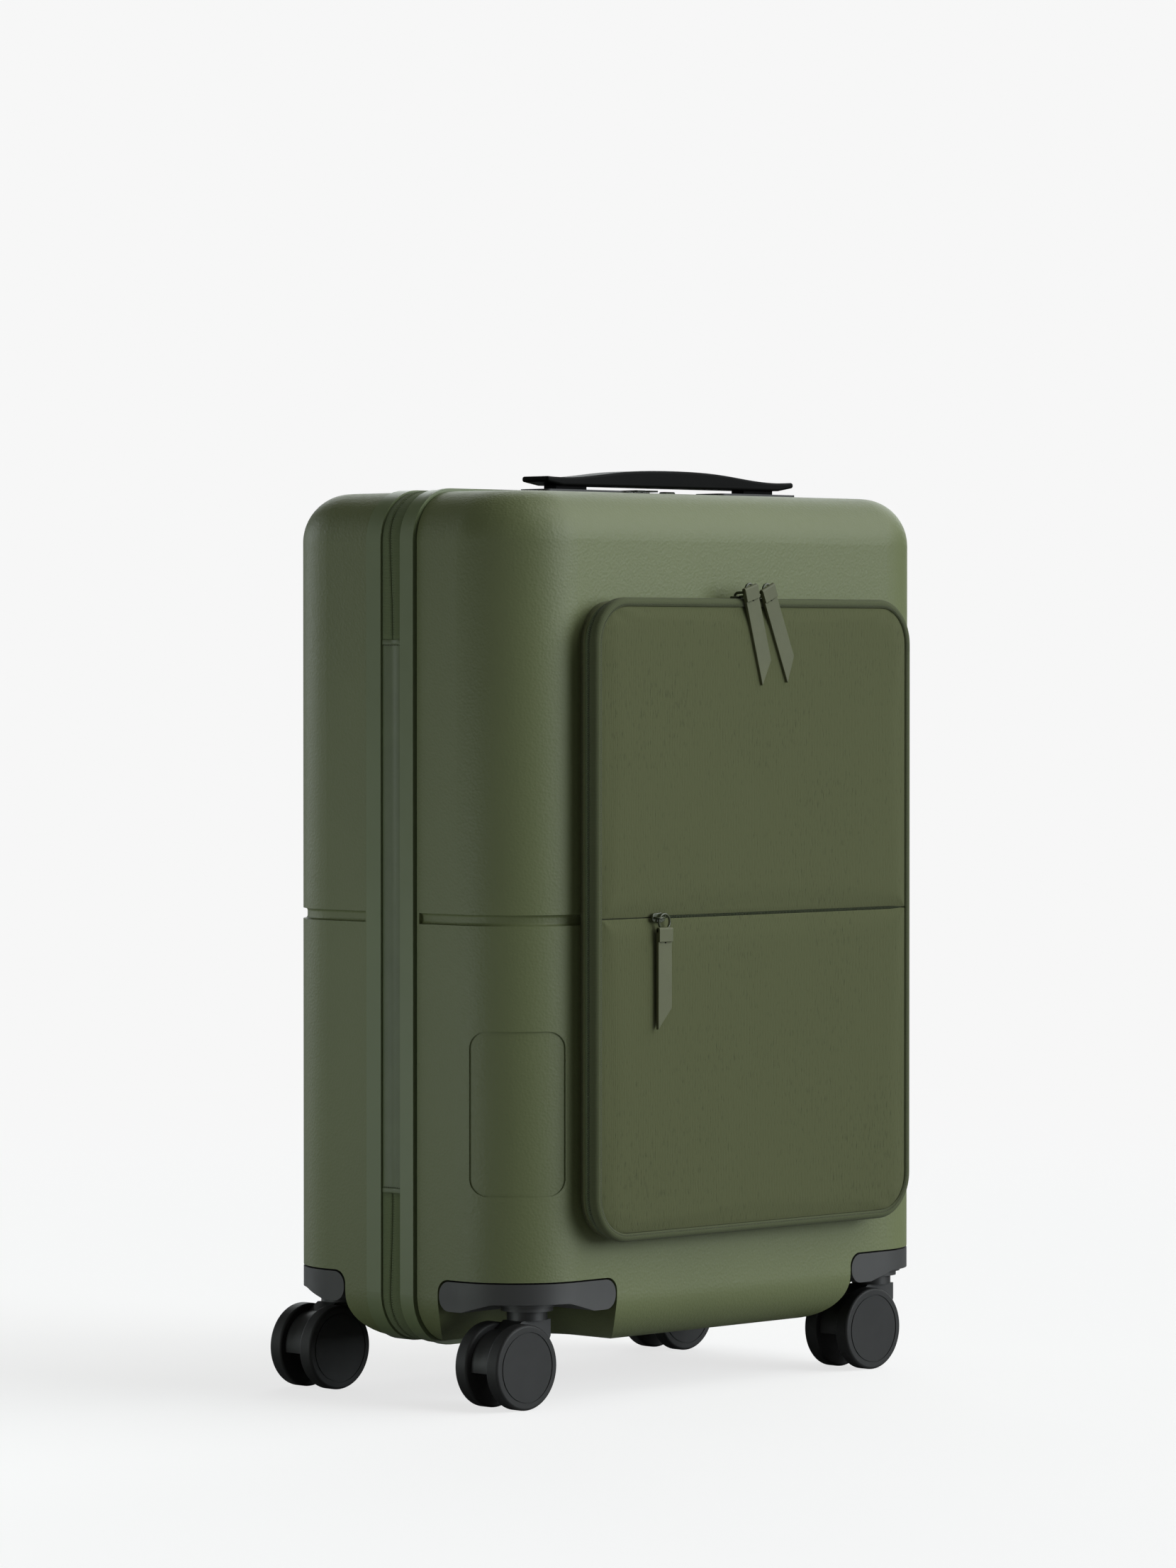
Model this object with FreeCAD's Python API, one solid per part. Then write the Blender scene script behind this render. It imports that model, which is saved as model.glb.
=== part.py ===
import FreeCAD, Part
import math
import os

V = FreeCAD.Vector
X_AXIS, Y_AXIS, Z_AXIS = V(1, 0, 0), V(0, 1, 0), V(0, 0, 1)

# All sizes are millimetres. The case is drawn about its own middle: x across the case, y through
# its depth with the zip near y = 0 and the sleeve on the -y side, z up from the floor.
# home_shift then moves every piece so that the origin lies under the middle of the whole footprint.

# --- overall sizes ---
case_half_width = 186.0
case_half_depth = 104.8
case_height = 501.0
wheel_radius = 25.0

# --- common clearances ---
far = 1000.0
side_gap = 0.3
slide_gap = 0.2
running_fit = 0.05

# --- case shells ---
well_ceiling = 2 * wheel_radius + 24.0
case_bottom = well_ceiling - 40.0
case_top = case_bottom + case_height
front_face_y = -case_half_depth
back_face_y = case_half_depth
corner_radius = 50.0
edge_radius = 29.0
shell_wall = 2.6

# --- parting: back rail, zip, front rail ---
back_rail_front = 7.3
back_rail_back = 19.4
front_rail_back = -8.8
front_rail_front = -20.5
bead_back = -17.5
seam_gap = 1.4
rail_proud = 1.2
bead_proud = 1.9
rail_wall = 1.2
tongue_length = 7.6
zip_line_y = 1.2
zip_gap = 0.6
tape_thickness = 1.5
tape_proud = 0.3
hinge_panel_bottom = case_bottom + 88.0
hinge_panel_top = case_top - 87.0

# --- waist groove ---
groove_z = (case_bottom + case_top) / 2
groove_width = 6.4
groove_depth = 2.5
groove_round = 1.9
groove_end_gap = 1.9
groove_outset = 2.0

# --- bare badge recess on the front left corner ---
badge_width = 56.0
badge_height = 96.0
badge_bottom = case_bottom + 90.0
badge_depth = 0.9
badge_round = 10.0

# --- wheel wells and caster housings ---
well_length = 83.0
well_width = 65.8
well_inner_x = case_half_width - well_length
well_inner_y = case_half_depth - well_width
well_flare = 24.0
well_corner = 12.0
well_round = 8.0
housing_gap = 1.2
housing_top_gap = 1.0
housing_seat_inset = 8.0
housing_end_bottom = 2 * wheel_radius + 5.5
housing_mid_bottom = 2 * wheel_radius + 11.0
housing_end_length = 19.0
housing_slope_length = 20.0
housing_end_round = 8.0
housing_corner = 8.0
housing_blend = 14.0
housing_hollow_drop = 20.0
collar_radius = 15.25
collar_bottom = 2 * wheel_radius + 6.2
collar_neck_radius = 17.6
collar_neck_bottom = 2 * wheel_radius + 9.0

# --- casters ---
pivot_x = case_half_width - 34.4
pivot_y = case_half_depth - 26.3
trail = 17.5
wheel_outer_face = 17.5
wheel_width = 9.5
wheel_edge_round = 1.6
hub_radius = wheel_radius - 4.5
hub_seam = 0.45
hub_recess_radius = hub_radius - 3.0
hub_recess_depth = 4.0
hub_boss_radius = 6.0
hub_cap_thickness = 3.5
axle_radius = 3.0
axle_end_gap = 0.3
swivel_gap = 0.3
stem_radius = 11.9
stem_bottom = 2 * wheel_radius + 0.8
kingpin_radius = 5.0
kingpin_top = well_ceiling - 5.0
cowl_radius = wheel_radius - 4.0
cowl_floor = wheel_radius - 3.0
fork_boss_radius = 7.0
fork_heel_z = wheel_radius + 16.0
fork_shoulder = 2.0
screw_radius = 2.0
screw_head_radius = 3.8
screw_head_height = 2.0
screw_depth = 9.0
screw_reach = 21.0
screw_side = 12.6

# --- carry handle ---
handle_y = -42.0
handle_half_length = 108.0
handle_width = 22.0
handle_tip_bottom = case_top + 6.4
handle_tip_top = case_top + 9.7
handle_under = case_top + 4.3
handle_crown = case_top + 14.6
handle_shoulder = case_top + 13.0
handle_shoulder_x = 45.0
handle_dip_x = 74.0
handle_dip_top = case_top + 10.1
handle_edge_round = 1.4
post_x = 82.0
post_width = 26.0
post_depth = 10.0
post_bottom = case_top - 22.0
post_overlap = 0.6
post_foot_height = 3.0
post_foot_lip = 1.6
handle_lift = 14.0
plate_x = 76.0
plate_length = 69.0
plate_width = 24.0
plate_height = 2.0
plate_round = 5.0
socket_wall = 2.0
socket_floor = 2.0

# --- lock ---
lock_half_length = 27.0
lock_front = -42.5
lock_back = -23.5
lock_proud = 1.2
lock_depth = 12.5
lock_round = 3.0
dial_count = 3
dial_first_x = -22.0
dial_pitch = 7.0
dial_width = 5.0
dial_radius = 4.8
dial_proud = 0.8
dial_gap = 0.3
dial_front_wall = 0.8
dial_y = lock_front + dial_front_wall + dial_gap + dial_radius
dial_notches = 10
dial_notch_radius = 0.5
dial_pin_radius = 1.0
dial_pin_seat = 1.5
button_x = 12.0
button_length = 10.0
button_width = 6.0
button_proud = 1.3
button_height = 6.0
button_travel_room = 2.0
button_round = 2.0
button_edge = 0.9

# --- main zip sliders ---
slider_xs = (-4.5, 6.5)
slider_length = 8.5
slider_width = 9.0
slider_height = 1.8
slider_round = 1.5
slider_neck_width = 3.0
slider_neck_length = 4.0
slider_neck_overlap = 0.5
tab_width = 9.0
tab_thickness = 1.0
tab_end_y = -31.0
tab_clear = 0.5
tab_round = 2.0

# --- trolley ---
tube_x = 70.0
tube_y = case_half_depth - 34.8
tube_width = 26.0
tube_depth = 14.0
tube_wall = 1.2
tube_gap = 0.15
tube_round = 4.0
tube_least_round = 0.4
tube_bottom = case_bottom + 22.0
tray_half_length = 96.0
tray_front = tube_y - 18.0
tray_back = tube_y + 16.0
tray_depth = 30.0
tray_wall = 2.0
tray_floor = 3.0
tray_round = 8.0
grip_half_length = 88.0
grip_front = tube_y - 7.5
grip_back = tube_y + 8.0
grip_bottom = case_top - 23.0
grip_top = case_top - 2.5
grip_round = 4.0
grip_button_length = 26.0
grip_button_width = 9.0
grip_button_height = 2.0
grip_button_travel = 5.0
grip_button_proud = 1.2
grip_button_round = 3.0
grip_button_edge = 0.8
stage_rise = 6.0
foot_height = 9.0
foot_margin = 5.0
foot_floor = 3.0
guide_height = 16.0
guide_wall = 3.0
guide_round = 2.0

# --- linings and straps ---
lining_thickness = 2.0
lining_half_width = case_half_width - 18.0
lining_bottom = case_bottom + 58.0
lining_top = case_top - 41.0
lining_round = 26.0
lining_gap = 0.1
front_lining_half_width = case_half_width - corner_radius + 2.0
front_lining_split = 3.0
strap_zs = (groove_z - 84.5, groove_z + 85.5)
strap_width = 25.0
strap_thickness = 1.4
strap_half_length = case_half_width - 26.0
strap_round = 4.0
buckle_length = 46.0
buckle_width = 34.0
buckle_thickness = 4.0
buckle_round = 6.0

# --- front sleeve ---
sleeve_half_width = case_half_width - 47.4
sleeve_bottom = case_bottom + 62.0
sleeve_top = case_top - 62.7
sleeve_radius = 27.0
sleeve_front = front_face_y - 17.6
sleeve_base_side = 4.4
sleeve_base_level = 2.0
sleeve_wall = 2.5
sleeve_back_thickness = 2.0
sleeve_lip = 1.0
sleeve_zip_back = front_face_y - 6.6
sleeve_zip_front = front_face_y - 11.4
zip_tape_inset = 1.8
zip_tape_thickness = 1.2
flap_thickness = 2.5
flap_layer_gap = 0.4
pocket_seam_z = groove_z + 0.5
pocket_seam_gap = 1.0
rim_width = 5.0

# --- sleeve zip sliders and pulls ---
top_slider_xs = (-8.5, 7.0)
top_slider_length = 8.4
top_slider_height = 3.0
top_slider_front = sleeve_zip_front + side_gap
top_slider_back = sleeve_zip_back + 1.5
top_slider_round = 1.5
bridge_post_width = 2.4
bridge_post_depth = 3.0
bridge_post_overlap = 1.2
top_pull_tilts = (16.0, 23.0)
top_bridge_z = sleeve_top + 3.7
top_strap_rise = 4.0
mid_slider_x = -88.0
mid_slider_length = 11.0
mid_slider_width = 6.0
mid_slider_height = 1.8
mid_slider_round = 1.2
mid_bridge_offset = 3.0
mid_bridge_reach = 4.2
mid_strap_drop = 6.4
mid_strap_lift = mid_slider_height + side_gap
top_ring_radius = 3.6
mid_ring_radius = 4.6
ring_wire = 0.8
ring_sink = 0.3
bridge_radius = 1.0
pull_width = 11.5
pull_length = 60.0
pull_thickness = 2.0
pull_tip = 12.5
pull_fold_length = 8.6
pull_fold_thickness = 1.0
pull_gap = 0.5

# --- where the whole footprint reaches, which sets the origin ---
front_reach = -sleeve_front + side_gap + mid_strap_lift + pull_thickness + pull_fold_thickness
left_reach = pivot_x + trail + wheel_radius
right_reach = case_half_width + bead_proud
home_shift = V((left_reach - right_reach) / 2, (front_reach - case_half_depth) / 2, 0)


def block(x_lo, x_hi, y_lo, y_hi, z_lo, z_hi):
    """A plain block between two corners."""
    return Part.makeBox(x_hi - x_lo, y_hi - y_lo, z_hi - z_lo, V(x_lo, y_lo, z_lo))


def edges_along(shape, axis):
    """The straight edges that run along one axis, 0 for x, 1 for y and 2 for z."""
    picked = []
    for edge in shape.Edges:
        box = edge.BoundBox
        spans = [box.XLength, box.YLength, box.ZLength]
        if spans[axis] > 0.01 and sum(spans) - spans[axis] < 0.01:
            picked.append(edge)
    return picked


def edges_level_at(shape, z):
    """The edges that lie flat at one height."""
    return [e for e in shape.Edges if abs(e.BoundBox.ZMin - z) < 0.01 and e.BoundBox.ZLength < 0.01]


def edges_facing_at(shape, y):
    """The edges that lie in one plane across y."""
    return [e for e in shape.Edges if abs(e.BoundBox.YMin - y) < 0.01 and e.BoundBox.YLength < 0.01]


def rounded(x_lo, x_hi, y_lo, y_hi, z_lo, z_hi, radius, axis):
    """A block whose four edges along one axis are rounded."""
    shape = block(x_lo, x_hi, y_lo, y_hi, z_lo, z_hi)
    return shape.makeFillet(radius, edges_along(shape, axis))


def cylinder_y(radius, y_lo, y_hi, x, z):
    return Part.makeCylinder(radius, y_hi - y_lo, V(x, y_lo, z), Y_AXIS)


def cylinder_x(radius, x_lo, x_hi, y, z):
    return Part.makeCylinder(radius, x_hi - x_lo, V(x_lo, y, z), X_AXIS)


def cylinder_z(radius, z_lo, z_hi, x, y):
    return Part.makeCylinder(radius, z_hi - z_lo, V(x, y, z_lo), Z_AXIS)


def joined(first, *others):
    shape = first
    for other in others:
        shape = shape.fuse(other)
    return shape.removeSplitter()


def save(name, *solids):
    """Writes one piece, or a group of alike pieces, to its STEP file."""
    placed = []
    for solid in solids:
        copy = solid.copy()
        copy.translate(home_shift)
        placed.append(copy)
    shape = placed[0] if len(placed) == 1 else Part.makeCompound(placed)
    shape.exportStep("parts/" + name + ".step")


# ---------------------------------------------------------------- case form

def case_form(inset):
    """The whole closed case as one solid, drawn in by an inset."""
    half = case_half_width - inset
    shape = block(-half, half, front_face_y + inset, back_face_y - inset,
                  case_bottom + inset, case_top - inset)
    shape = shape.makeFillet(corner_radius - inset, edges_along(shape, 2))
    level = edges_level_at(shape, case_bottom + inset) + edges_level_at(shape, case_top - inset)
    return shape.makeFillet(edge_radius - inset, level)


def case_without_wells(inset):
    """The space that stays when the four wheel wells are taken out of the case form."""
    arm_x = well_inner_x - inset
    arm_y = well_inner_y - inset
    ceiling = well_ceiling + inset
    floor = case_bottom + inset
    reach = case_half_width + case_half_depth
    long_arm = block(-reach, reach, -arm_y, arm_y, floor, ceiling)
    cross_arm = block(-arm_x, arm_x, -reach, reach, floor, ceiling)
    cross = long_arm.fuse(cross_arm).removeSplitter()
    inner = [e for e in edges_along(cross, 2)
             if abs(abs(e.BoundBox.XMin) - arm_x) < 0.01 and abs(abs(e.BoundBox.YMin) - arm_y) < 0.01]
    cross = cross.makeFillet(well_corner + inset, inner)
    rims = []
    for edge in edges_level_at(cross, floor):
        box = edge.BoundBox
        at_end = box.XLength < 0.01 and abs(box.XMin) > reach - 1
        at_end = at_end or (box.YLength < 0.01 and abs(box.YMin) > reach - 1)
        if not at_end:
            rims.append(edge)
    cross = cross.makeFillet(well_flare - inset, rims)
    upper = block(-reach, reach, -reach, reach, ceiling, far)
    kept = cross.fuse(upper)
    corners = []
    for edge in edges_level_at(kept, ceiling):
        box = edge.BoundBox
        outside = box.XLength < 0.01 and abs(box.XMin) > reach - 1
        outside = outside or (box.YLength < 0.01 and abs(box.YMin) > reach - 1)
        if not outside:
            corners.append(edge)
    return kept.makeFillet(well_round + inset, corners)


def waist_ring(inset, outset):
    """The ring that the waist groove takes from the form, or its bulge inside the shell."""
    depth = groove_depth + inset
    half_height = groove_width / 2 + inset
    z_lo, z_hi = groove_z - half_height, groove_z + half_height
    outer = rounded(-case_half_width - outset, case_half_width + outset,
                    front_face_y - outset, back_face_y + outset, z_lo, z_hi, corner_radius + outset, 2)
    core = rounded(-case_half_width + depth, case_half_width - depth,
                   front_face_y + depth, back_face_y - depth, z_lo, z_hi, corner_radius - depth, 2)
    ring = outer.cut(core)
    inner_edges = []
    for edge in edges_level_at(ring, z_lo) + edges_level_at(ring, z_hi):
        box = edge.BoundBox
        if max(abs(box.XMin), abs(box.XMax)) < case_half_width - depth + 0.1:
            inner_edges.append(edge)
    return ring.makeFillet(groove_round, inner_edges)


def badge_recess():
    """A bare shallow panel that wraps the front left corner."""
    reach = 2 * corner_radius
    panel = rounded(-badge_width / 2, badge_width / 2, -reach, 0, badge_bottom, badge_bottom + badge_height,
                    badge_round, 1)
    panel.rotate(V(0, 0, 0), Z_AXIS, -45)
    centre = V(-case_half_width + corner_radius, front_face_y + corner_radius, 0)
    panel.translate(centre)
    core = rounded(-case_half_width + badge_depth, case_half_width, front_face_y + badge_depth, back_face_y,
                   case_bottom, case_top, corner_radius - badge_depth, 2)
    return panel.cut(core)


def handle_holes():
    """The two ways for the handle's posts, from inside the sockets to above the plates."""
    holes = []
    for side in (-1, 1):
        x = side * post_x
        half_x = post_width / 2 + slide_gap
        half_y = post_depth / 2 + slide_gap
        holes.append(block(x - half_x, x + half_x, handle_y - half_y, handle_y + half_y,
                           post_bottom + post_foot_height, far))
    return holes


def build_shells():
    form = case_form(0).common(case_without_wells(0))
    cavity = case_form(shell_wall).common(case_without_wells(shell_wall))
    ring = waist_ring(0, groove_outset)
    bulge = waist_ring(shell_wall, groove_outset)
    seam_zone = block(-far, far, front_rail_front - seam_gap - groove_end_gap,
                      back_rail_back + groove_end_gap, 0, far)
    form = form.cut(ring.cut(seam_zone))
    cavity = cavity.cut(bulge.cut(seam_zone))
    form = form.cut(badge_recess())
    skin = form.cut(cavity)

    back = skin.common(block(-far, far, back_rail_back, far, 0, far))
    back = back.cut(tray_block(0, far))
    front = skin.common(block(-far, far, -far, front_rail_front - seam_gap, 0, far))
    for hole in handle_holes():
        front = front.cut(hole)
    front = front.cut(lock_block(0, far))
    for side_x in (-1, 1):
        for x, y in screw_places():
            hole = cylinder_z(screw_radius, well_ceiling - 1, well_ceiling + shell_wall + 1, side_x * x, y)
            back = back.cut(hole)
            front = front.cut(hole.mirror(V(0, 0, 0), Y_AXIS))
    save("back_shell", back)
    save("front_shell", front)
    return back, front


def band(outset, inset, y_lo, y_hi):
    """A ring that follows the case outline, from an outset to an inset of the outer surface."""
    outer = rounded(-case_half_width - outset, case_half_width + outset, y_lo, y_hi,
                    case_bottom - outset, case_top + outset, edge_radius + outset, 1)
    inner = rounded(-case_half_width + inset, case_half_width - inset, y_lo - 1, y_hi + 1,
                    case_bottom + inset, case_top - inset, edge_radius - inset, 1)
    return outer.cut(inner)


def build_rails(back_shell, front_shell):
    """Each rail is a proud outer band with a tongue that backs its shell's edge."""
    deep = shell_wall + rail_wall
    inside = case_without_wells(shell_wall)
    back_tongue = band(-shell_wall, deep, back_rail_back, back_rail_back + tongue_length)
    front_tongue = band(-shell_wall, deep, front_rail_front - seam_gap - tongue_length, front_rail_front)
    back = joined(band(rail_proud, deep, back_rail_front, back_rail_back), back_tongue.common(inside))
    front = joined(band(rail_proud, deep, bead_back, front_rail_back),
                   band(bead_proud, deep, front_rail_front, bead_back), front_tongue.common(inside))
    save("back_rail", back.cut(back_shell))
    save("front_rail", front.cut(front_shell).cut(lock_block(0, case_top)))


def build_zip():
    hinge_side = block(-far, -case_half_width + edge_radius, front_rail_back - 1, back_rail_front + 1,
                       hinge_panel_bottom, hinge_panel_top)
    inset = tape_thickness - tape_proud
    back = band(tape_proud, inset, zip_line_y + zip_gap / 2, back_rail_front).cut(hinge_side)
    front = band(tape_proud, inset, front_rail_back, zip_line_y - zip_gap / 2).cut(hinge_side)
    panel = block(-case_half_width - tape_proud, -case_half_width + inset,
                  front_rail_back + side_gap, back_rail_front, hinge_panel_bottom, hinge_panel_top)
    save("zip_tape_back", back)
    save("zip_tape_front", front)
    save("hinge_panel", panel)


# ---------------------------------------------------------------- casters

def inner_corner(shape):
    """The upright edge that is nearest to the middle of the case."""
    return min(edges_along(shape, 2), key=lambda e: e.BoundBox.XMin + e.BoundBox.YMin)


def well_plan(z_lo, z_hi, inset):
    """The plan of one wheel well under the right back corner, drawn in by an inset."""
    shape = block(well_inner_x + housing_gap + inset, case_half_width, well_inner_y + housing_gap + inset,
                  back_face_y, z_lo, z_hi)
    shape = shape.makeFillet(housing_corner, [inner_corner(shape)])
    form = rounded(-case_half_width + inset, case_half_width - inset, -back_face_y + inset,
                   back_face_y - inset, z_lo - 1, z_hi + 1, corner_radius - inset, 2)
    return shape.common(form)


def housing_hollow():
    """The space under a housing's waist, with a long slope up from each of its ends."""
    slopes = []
    for start, along_x in ((well_inner_x, True), (well_inner_y, False)):
        foot = start + housing_end_length
        drop = housing_hollow_drop
        run = housing_slope_length * drop / (housing_mid_bottom - housing_end_bottom)
        spots = [(foot - run, housing_end_bottom - drop), (far, housing_end_bottom - drop),
                 (far, housing_mid_bottom), (foot + housing_slope_length, housing_mid_bottom)]
        if along_x:
            outline = [V(a, -far, z) for a, z in spots]
            way = V(0, 2 * far, 0)
        else:
            outline = [V(-far, a, z) for a, z in spots]
            way = V(2 * far, 0, 0)
        slopes.append(Part.Face(Part.makePolygon(outline + outline[:1])).extrude(way))
    hollow = slopes[0].common(slopes[1])
    roof = [e for e in edges_level_at(hollow, housing_mid_bottom)
            if e.BoundBox.XMin < far - 1 and e.BoundBox.YMin < far - 1]
    return hollow.makeFillet(housing_blend, roof)


def housing():
    """The moulded corner under one shell corner, for the right back corner."""
    top = well_ceiling - housing_top_gap
    plan = well_plan(housing_end_bottom, top, 0)
    near = housing_gap + housing_corner + 1
    ends = []
    for z in (housing_end_bottom, top):
        for edge in edges_level_at(plan, z):
            box = edge.BoundBox
            on_x = box.XLength < 0.01 and abs(box.XMin - well_inner_x - housing_gap) < 0.01
            on_y = box.YLength < 0.01 and abs(box.YMin - well_inner_y - housing_gap) < 0.01
            on_corner = box.XMax < well_inner_x + near and box.YMax < well_inner_y + near
            if on_x or on_y or on_corner:
                ends.append(edge)
    plan = plan.makeFillet(housing_end_round, ends)
    hollow = housing_hollow()
    seat = well_plan(top, well_ceiling, housing_seat_inset)
    collar = cylinder_z(collar_radius, collar_bottom, housing_mid_bottom + 1, pivot_x, pivot_y)
    neck = cylinder_z(collar_neck_radius, collar_neck_bottom, housing_mid_bottom + 1, pivot_x, pivot_y)
    bore = cylinder_z(kingpin_radius + running_fit, 0, kingpin_top + swivel_gap, pivot_x, pivot_y)
    shape = joined(plan.cut(hollow), seat, collar, neck).cut(bore)
    for x, y in screw_places():
        shape = shape.cut(cylinder_z(screw_radius, well_ceiling - screw_depth, far, x, y))
    return shape


def screw_places():
    """Three screws hold each housing, set about its kingpin."""
    return [(pivot_x - screw_reach, pivot_y - screw_reach),
            (pivot_x + screw_reach, pivot_y - screw_reach),
            (pivot_x - screw_reach, pivot_y + screw_side)]


def housing_screws():
    screws = []
    for x, y in screw_places():
        head_bottom = well_ceiling + shell_wall
        head_top = head_bottom + screw_head_height
        shank = cylinder_z(screw_radius, well_ceiling - screw_depth, head_top, x, y)
        head = cylinder_z(screw_head_radius, head_bottom, head_top, x, y)
        screws.append(joined(shank, head))
    return screws


def fork(x, y):
    """The swivelling fork: kingpin and stem above, a cowl over the axle between the wheels."""
    wheel_x = x - trail
    half = wheel_outer_face - wheel_width - side_gap
    axle_z = wheel_radius
    cowl = cylinder_y(cowl_radius, y - half, y + half, wheel_x, axle_z)
    cowl = cowl.common(block(-far, far, -far, far, cowl_floor, far))
    boss = cylinder_y(fork_boss_radius, y - half, y + half, wheel_x, axle_z)
    heel = x + stem_radius
    outline = [V(heel, y - half, stem_bottom), V(heel, y - half, fork_heel_z),
               V(wheel_x + cowl_radius - 1, y - half, cowl_floor), V(wheel_x, y - half, cowl_floor),
               V(wheel_x - fork_shoulder, y - half, axle_z + cowl_radius),
               V(x - stem_radius, y - half, stem_bottom)]
    web = Part.Face(Part.makePolygon(outline + outline[:1])).extrude(V(0, 2 * half, 0))
    stem = cylinder_z(stem_radius, stem_bottom, collar_bottom - swivel_gap, x, y)
    pin = cylinder_z(kingpin_radius, stem_bottom, kingpin_top, x, y)
    shape = joined(cowl, boss, web, stem, pin)
    return shape.cut(cylinder_y(axle_radius, -far, far, wheel_x, axle_z))


def axle(x, y):
    reach = wheel_outer_face - hub_cap_thickness
    return cylinder_y(axle_radius, y - reach, y + reach, x - trail, wheel_radius)


def wheel(x, y, side):
    """One wheel of a twin: a tyre on a capped hub. side is -1 or 1 along y."""
    centre_x = x - trail
    inner = wheel_outer_face - wheel_width
    body = Part.makeCylinder(wheel_radius, wheel_width, V(0, 0, inner), Z_AXIS)
    tyre = body.makeFillet(wheel_edge_round, [e for e in body.Edges if e.BoundBox.ZLength < 0.01])
    tyre = tyre.cut(Part.makeCylinder(hub_radius, far, V(0, 0, 0), Z_AXIS))
    hub = Part.makeCylinder(hub_radius, wheel_width, V(0, 0, inner), Z_AXIS)
    collar = Part.makeCylinder(hub_radius + hub_seam, hub_seam, V(0, 0, wheel_outer_face - hub_seam), Z_AXIS)
    tyre = tyre.cut(collar)
    rim = collar.cut(Part.makeCylinder(hub_radius - hub_seam, far, V(0, 0, 0), Z_AXIS))
    hub = hub.cut(rim)
    recess = Part.makeCylinder(hub_recess_radius, hub_recess_depth, V(0, 0, inner), Z_AXIS)
    recess = recess.cut(Part.makeCylinder(hub_boss_radius, hub_recess_depth, V(0, 0, inner), Z_AXIS))
    bore_depth = wheel_outer_face - hub_cap_thickness + axle_end_gap
    bore = Part.makeCylinder(axle_radius + running_fit, bore_depth, V(0, 0, 0), Z_AXIS)
    hub = hub.cut(recess).cut(bore)
    solids = []
    for solid in (tyre, hub):
        solid = solid.copy()
        solid.rotate(V(0, 0, 0), X_AXIS, -90 * side)
        solid.translate(V(centre_x, y, wheel_radius))
        solids.append(solid)
    return solids


def build_casters():
    screw_sets = {"f": [], "b": []}
    for side_x, side_y, name in ((-1, -1, "fl"), (1, -1, "fr"), (-1, 1, "bl"), (1, 1, "br")):
        corner = housing()
        screws = housing_screws()
        shapes = [corner] + screws
        if side_x < 0:
            shapes = [s.mirror(V(0, 0, 0), X_AXIS) for s in shapes]
        if side_y < 0:
            shapes = [s.mirror(V(0, 0, 0), Y_AXIS) for s in shapes]
        x, y = side_x * pivot_x, side_y * pivot_y
        save("caster_" + name + "_housing", shapes[0])
        screw_sets[name[0]] += shapes[1:]
        save("caster_" + name + "_fork", fork(x, y))
        save("caster_" + name + "_axle", axle(x, y))
        save("caster_" + name + "_wheel_front", *wheel(x, y, -1))
        save("caster_" + name + "_wheel_back", *wheel(x, y, 1))
    save("caster_screws_front", *screw_sets["f"])
    save("caster_screws_back", *screw_sets["b"])


# ---------------------------------------------------------------- carry handle

def build_handle():
    half = handle_half_length
    crown = Part.BSplineCurve()
    crown.interpolate([V(-half, 0, handle_tip_top), V(-handle_dip_x, 0, handle_dip_top),
                       V(-handle_shoulder_x, 0, handle_shoulder), V(0, 0, handle_crown),
                       V(handle_shoulder_x, 0, handle_shoulder), V(handle_dip_x, 0, handle_dip_top),
                       V(half, 0, handle_tip_top)])
    outer_post = post_x + post_width / 2
    under = [V(half, 0, handle_tip_top), V(half, 0, handle_tip_bottom), V(outer_post, 0, handle_under),
             V(-outer_post, 0, handle_under), V(-half, 0, handle_tip_bottom), V(-half, 0, handle_tip_top)]
    outline = Part.Wire([crown.toShape()] + Part.makePolygon(under).Edges)
    bar = Part.Face(outline).extrude(V(0, handle_width, 0))
    rims = edges_facing_at(bar, 0) + edges_facing_at(bar, handle_width)
    tips = [edge for edge in bar.Edges if abs(abs(edge.CenterOfMass.x) - half) < 0.01
            and edge.BoundBox.YLength > handle_width - 0.1]
    bar = bar.makeFillet(handle_edge_round, rims + tips)
    bar.translate(V(0, handle_y - handle_width / 2, 0))
    plates, sockets, posts = [], [], []
    for side in (-1, 1):
        x = side * post_x
        half_x, half_y = post_width / 2, post_depth / 2
        post = block(x - half_x, x + half_x, handle_y - half_y, handle_y + half_y, post_bottom,
                     handle_under + post_overlap)
        lip = post_foot_lip
        foot = block(x - half_x - lip, x + half_x + lip, handle_y - half_y - lip, handle_y + half_y + lip,
                     post_bottom, post_bottom + post_foot_height)
        posts += [post, foot]
        plate = rounded(side * plate_x - plate_length / 2, side * plate_x + plate_length / 2,
                        handle_y - plate_width / 2, handle_y + plate_width / 2, case_top,
                        case_top + plate_height, plate_round, 2)
        for hole in handle_holes():
            plate = plate.cut(hole)
        plates.append(plate)
        inner_x = half_x + lip + slide_gap
        inner_y = half_y + lip + slide_gap
        top = case_top - shell_wall
        bottom = post_bottom - slide_gap - socket_floor
        box = block(x - inner_x - socket_wall, x + inner_x + socket_wall, handle_y - inner_y - socket_wall,
                    handle_y + inner_y + socket_wall, bottom, top)
        room = block(x - inner_x, x + inner_x, handle_y - inner_y, handle_y + inner_y,
                     bottom + socket_floor, post_bottom + post_foot_height + handle_lift)
        box = box.cut(room)
        for hole in handle_holes():
            box = box.cut(hole)
        sockets.append(box)
    save("carry_handle", joined(bar, *posts))
    save("handle_mounts", *(plates + sockets))


# ---------------------------------------------------------------- lock

def lock_block(outset, top):
    return rounded(-lock_half_length - outset, lock_half_length + outset, lock_front - outset,
                   lock_back + outset, case_top - lock_depth, top, lock_round, 2)


def dial_place(index):
    return dial_first_x + index * dial_pitch, case_top + lock_proud + dial_proud - dial_radius


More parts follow.
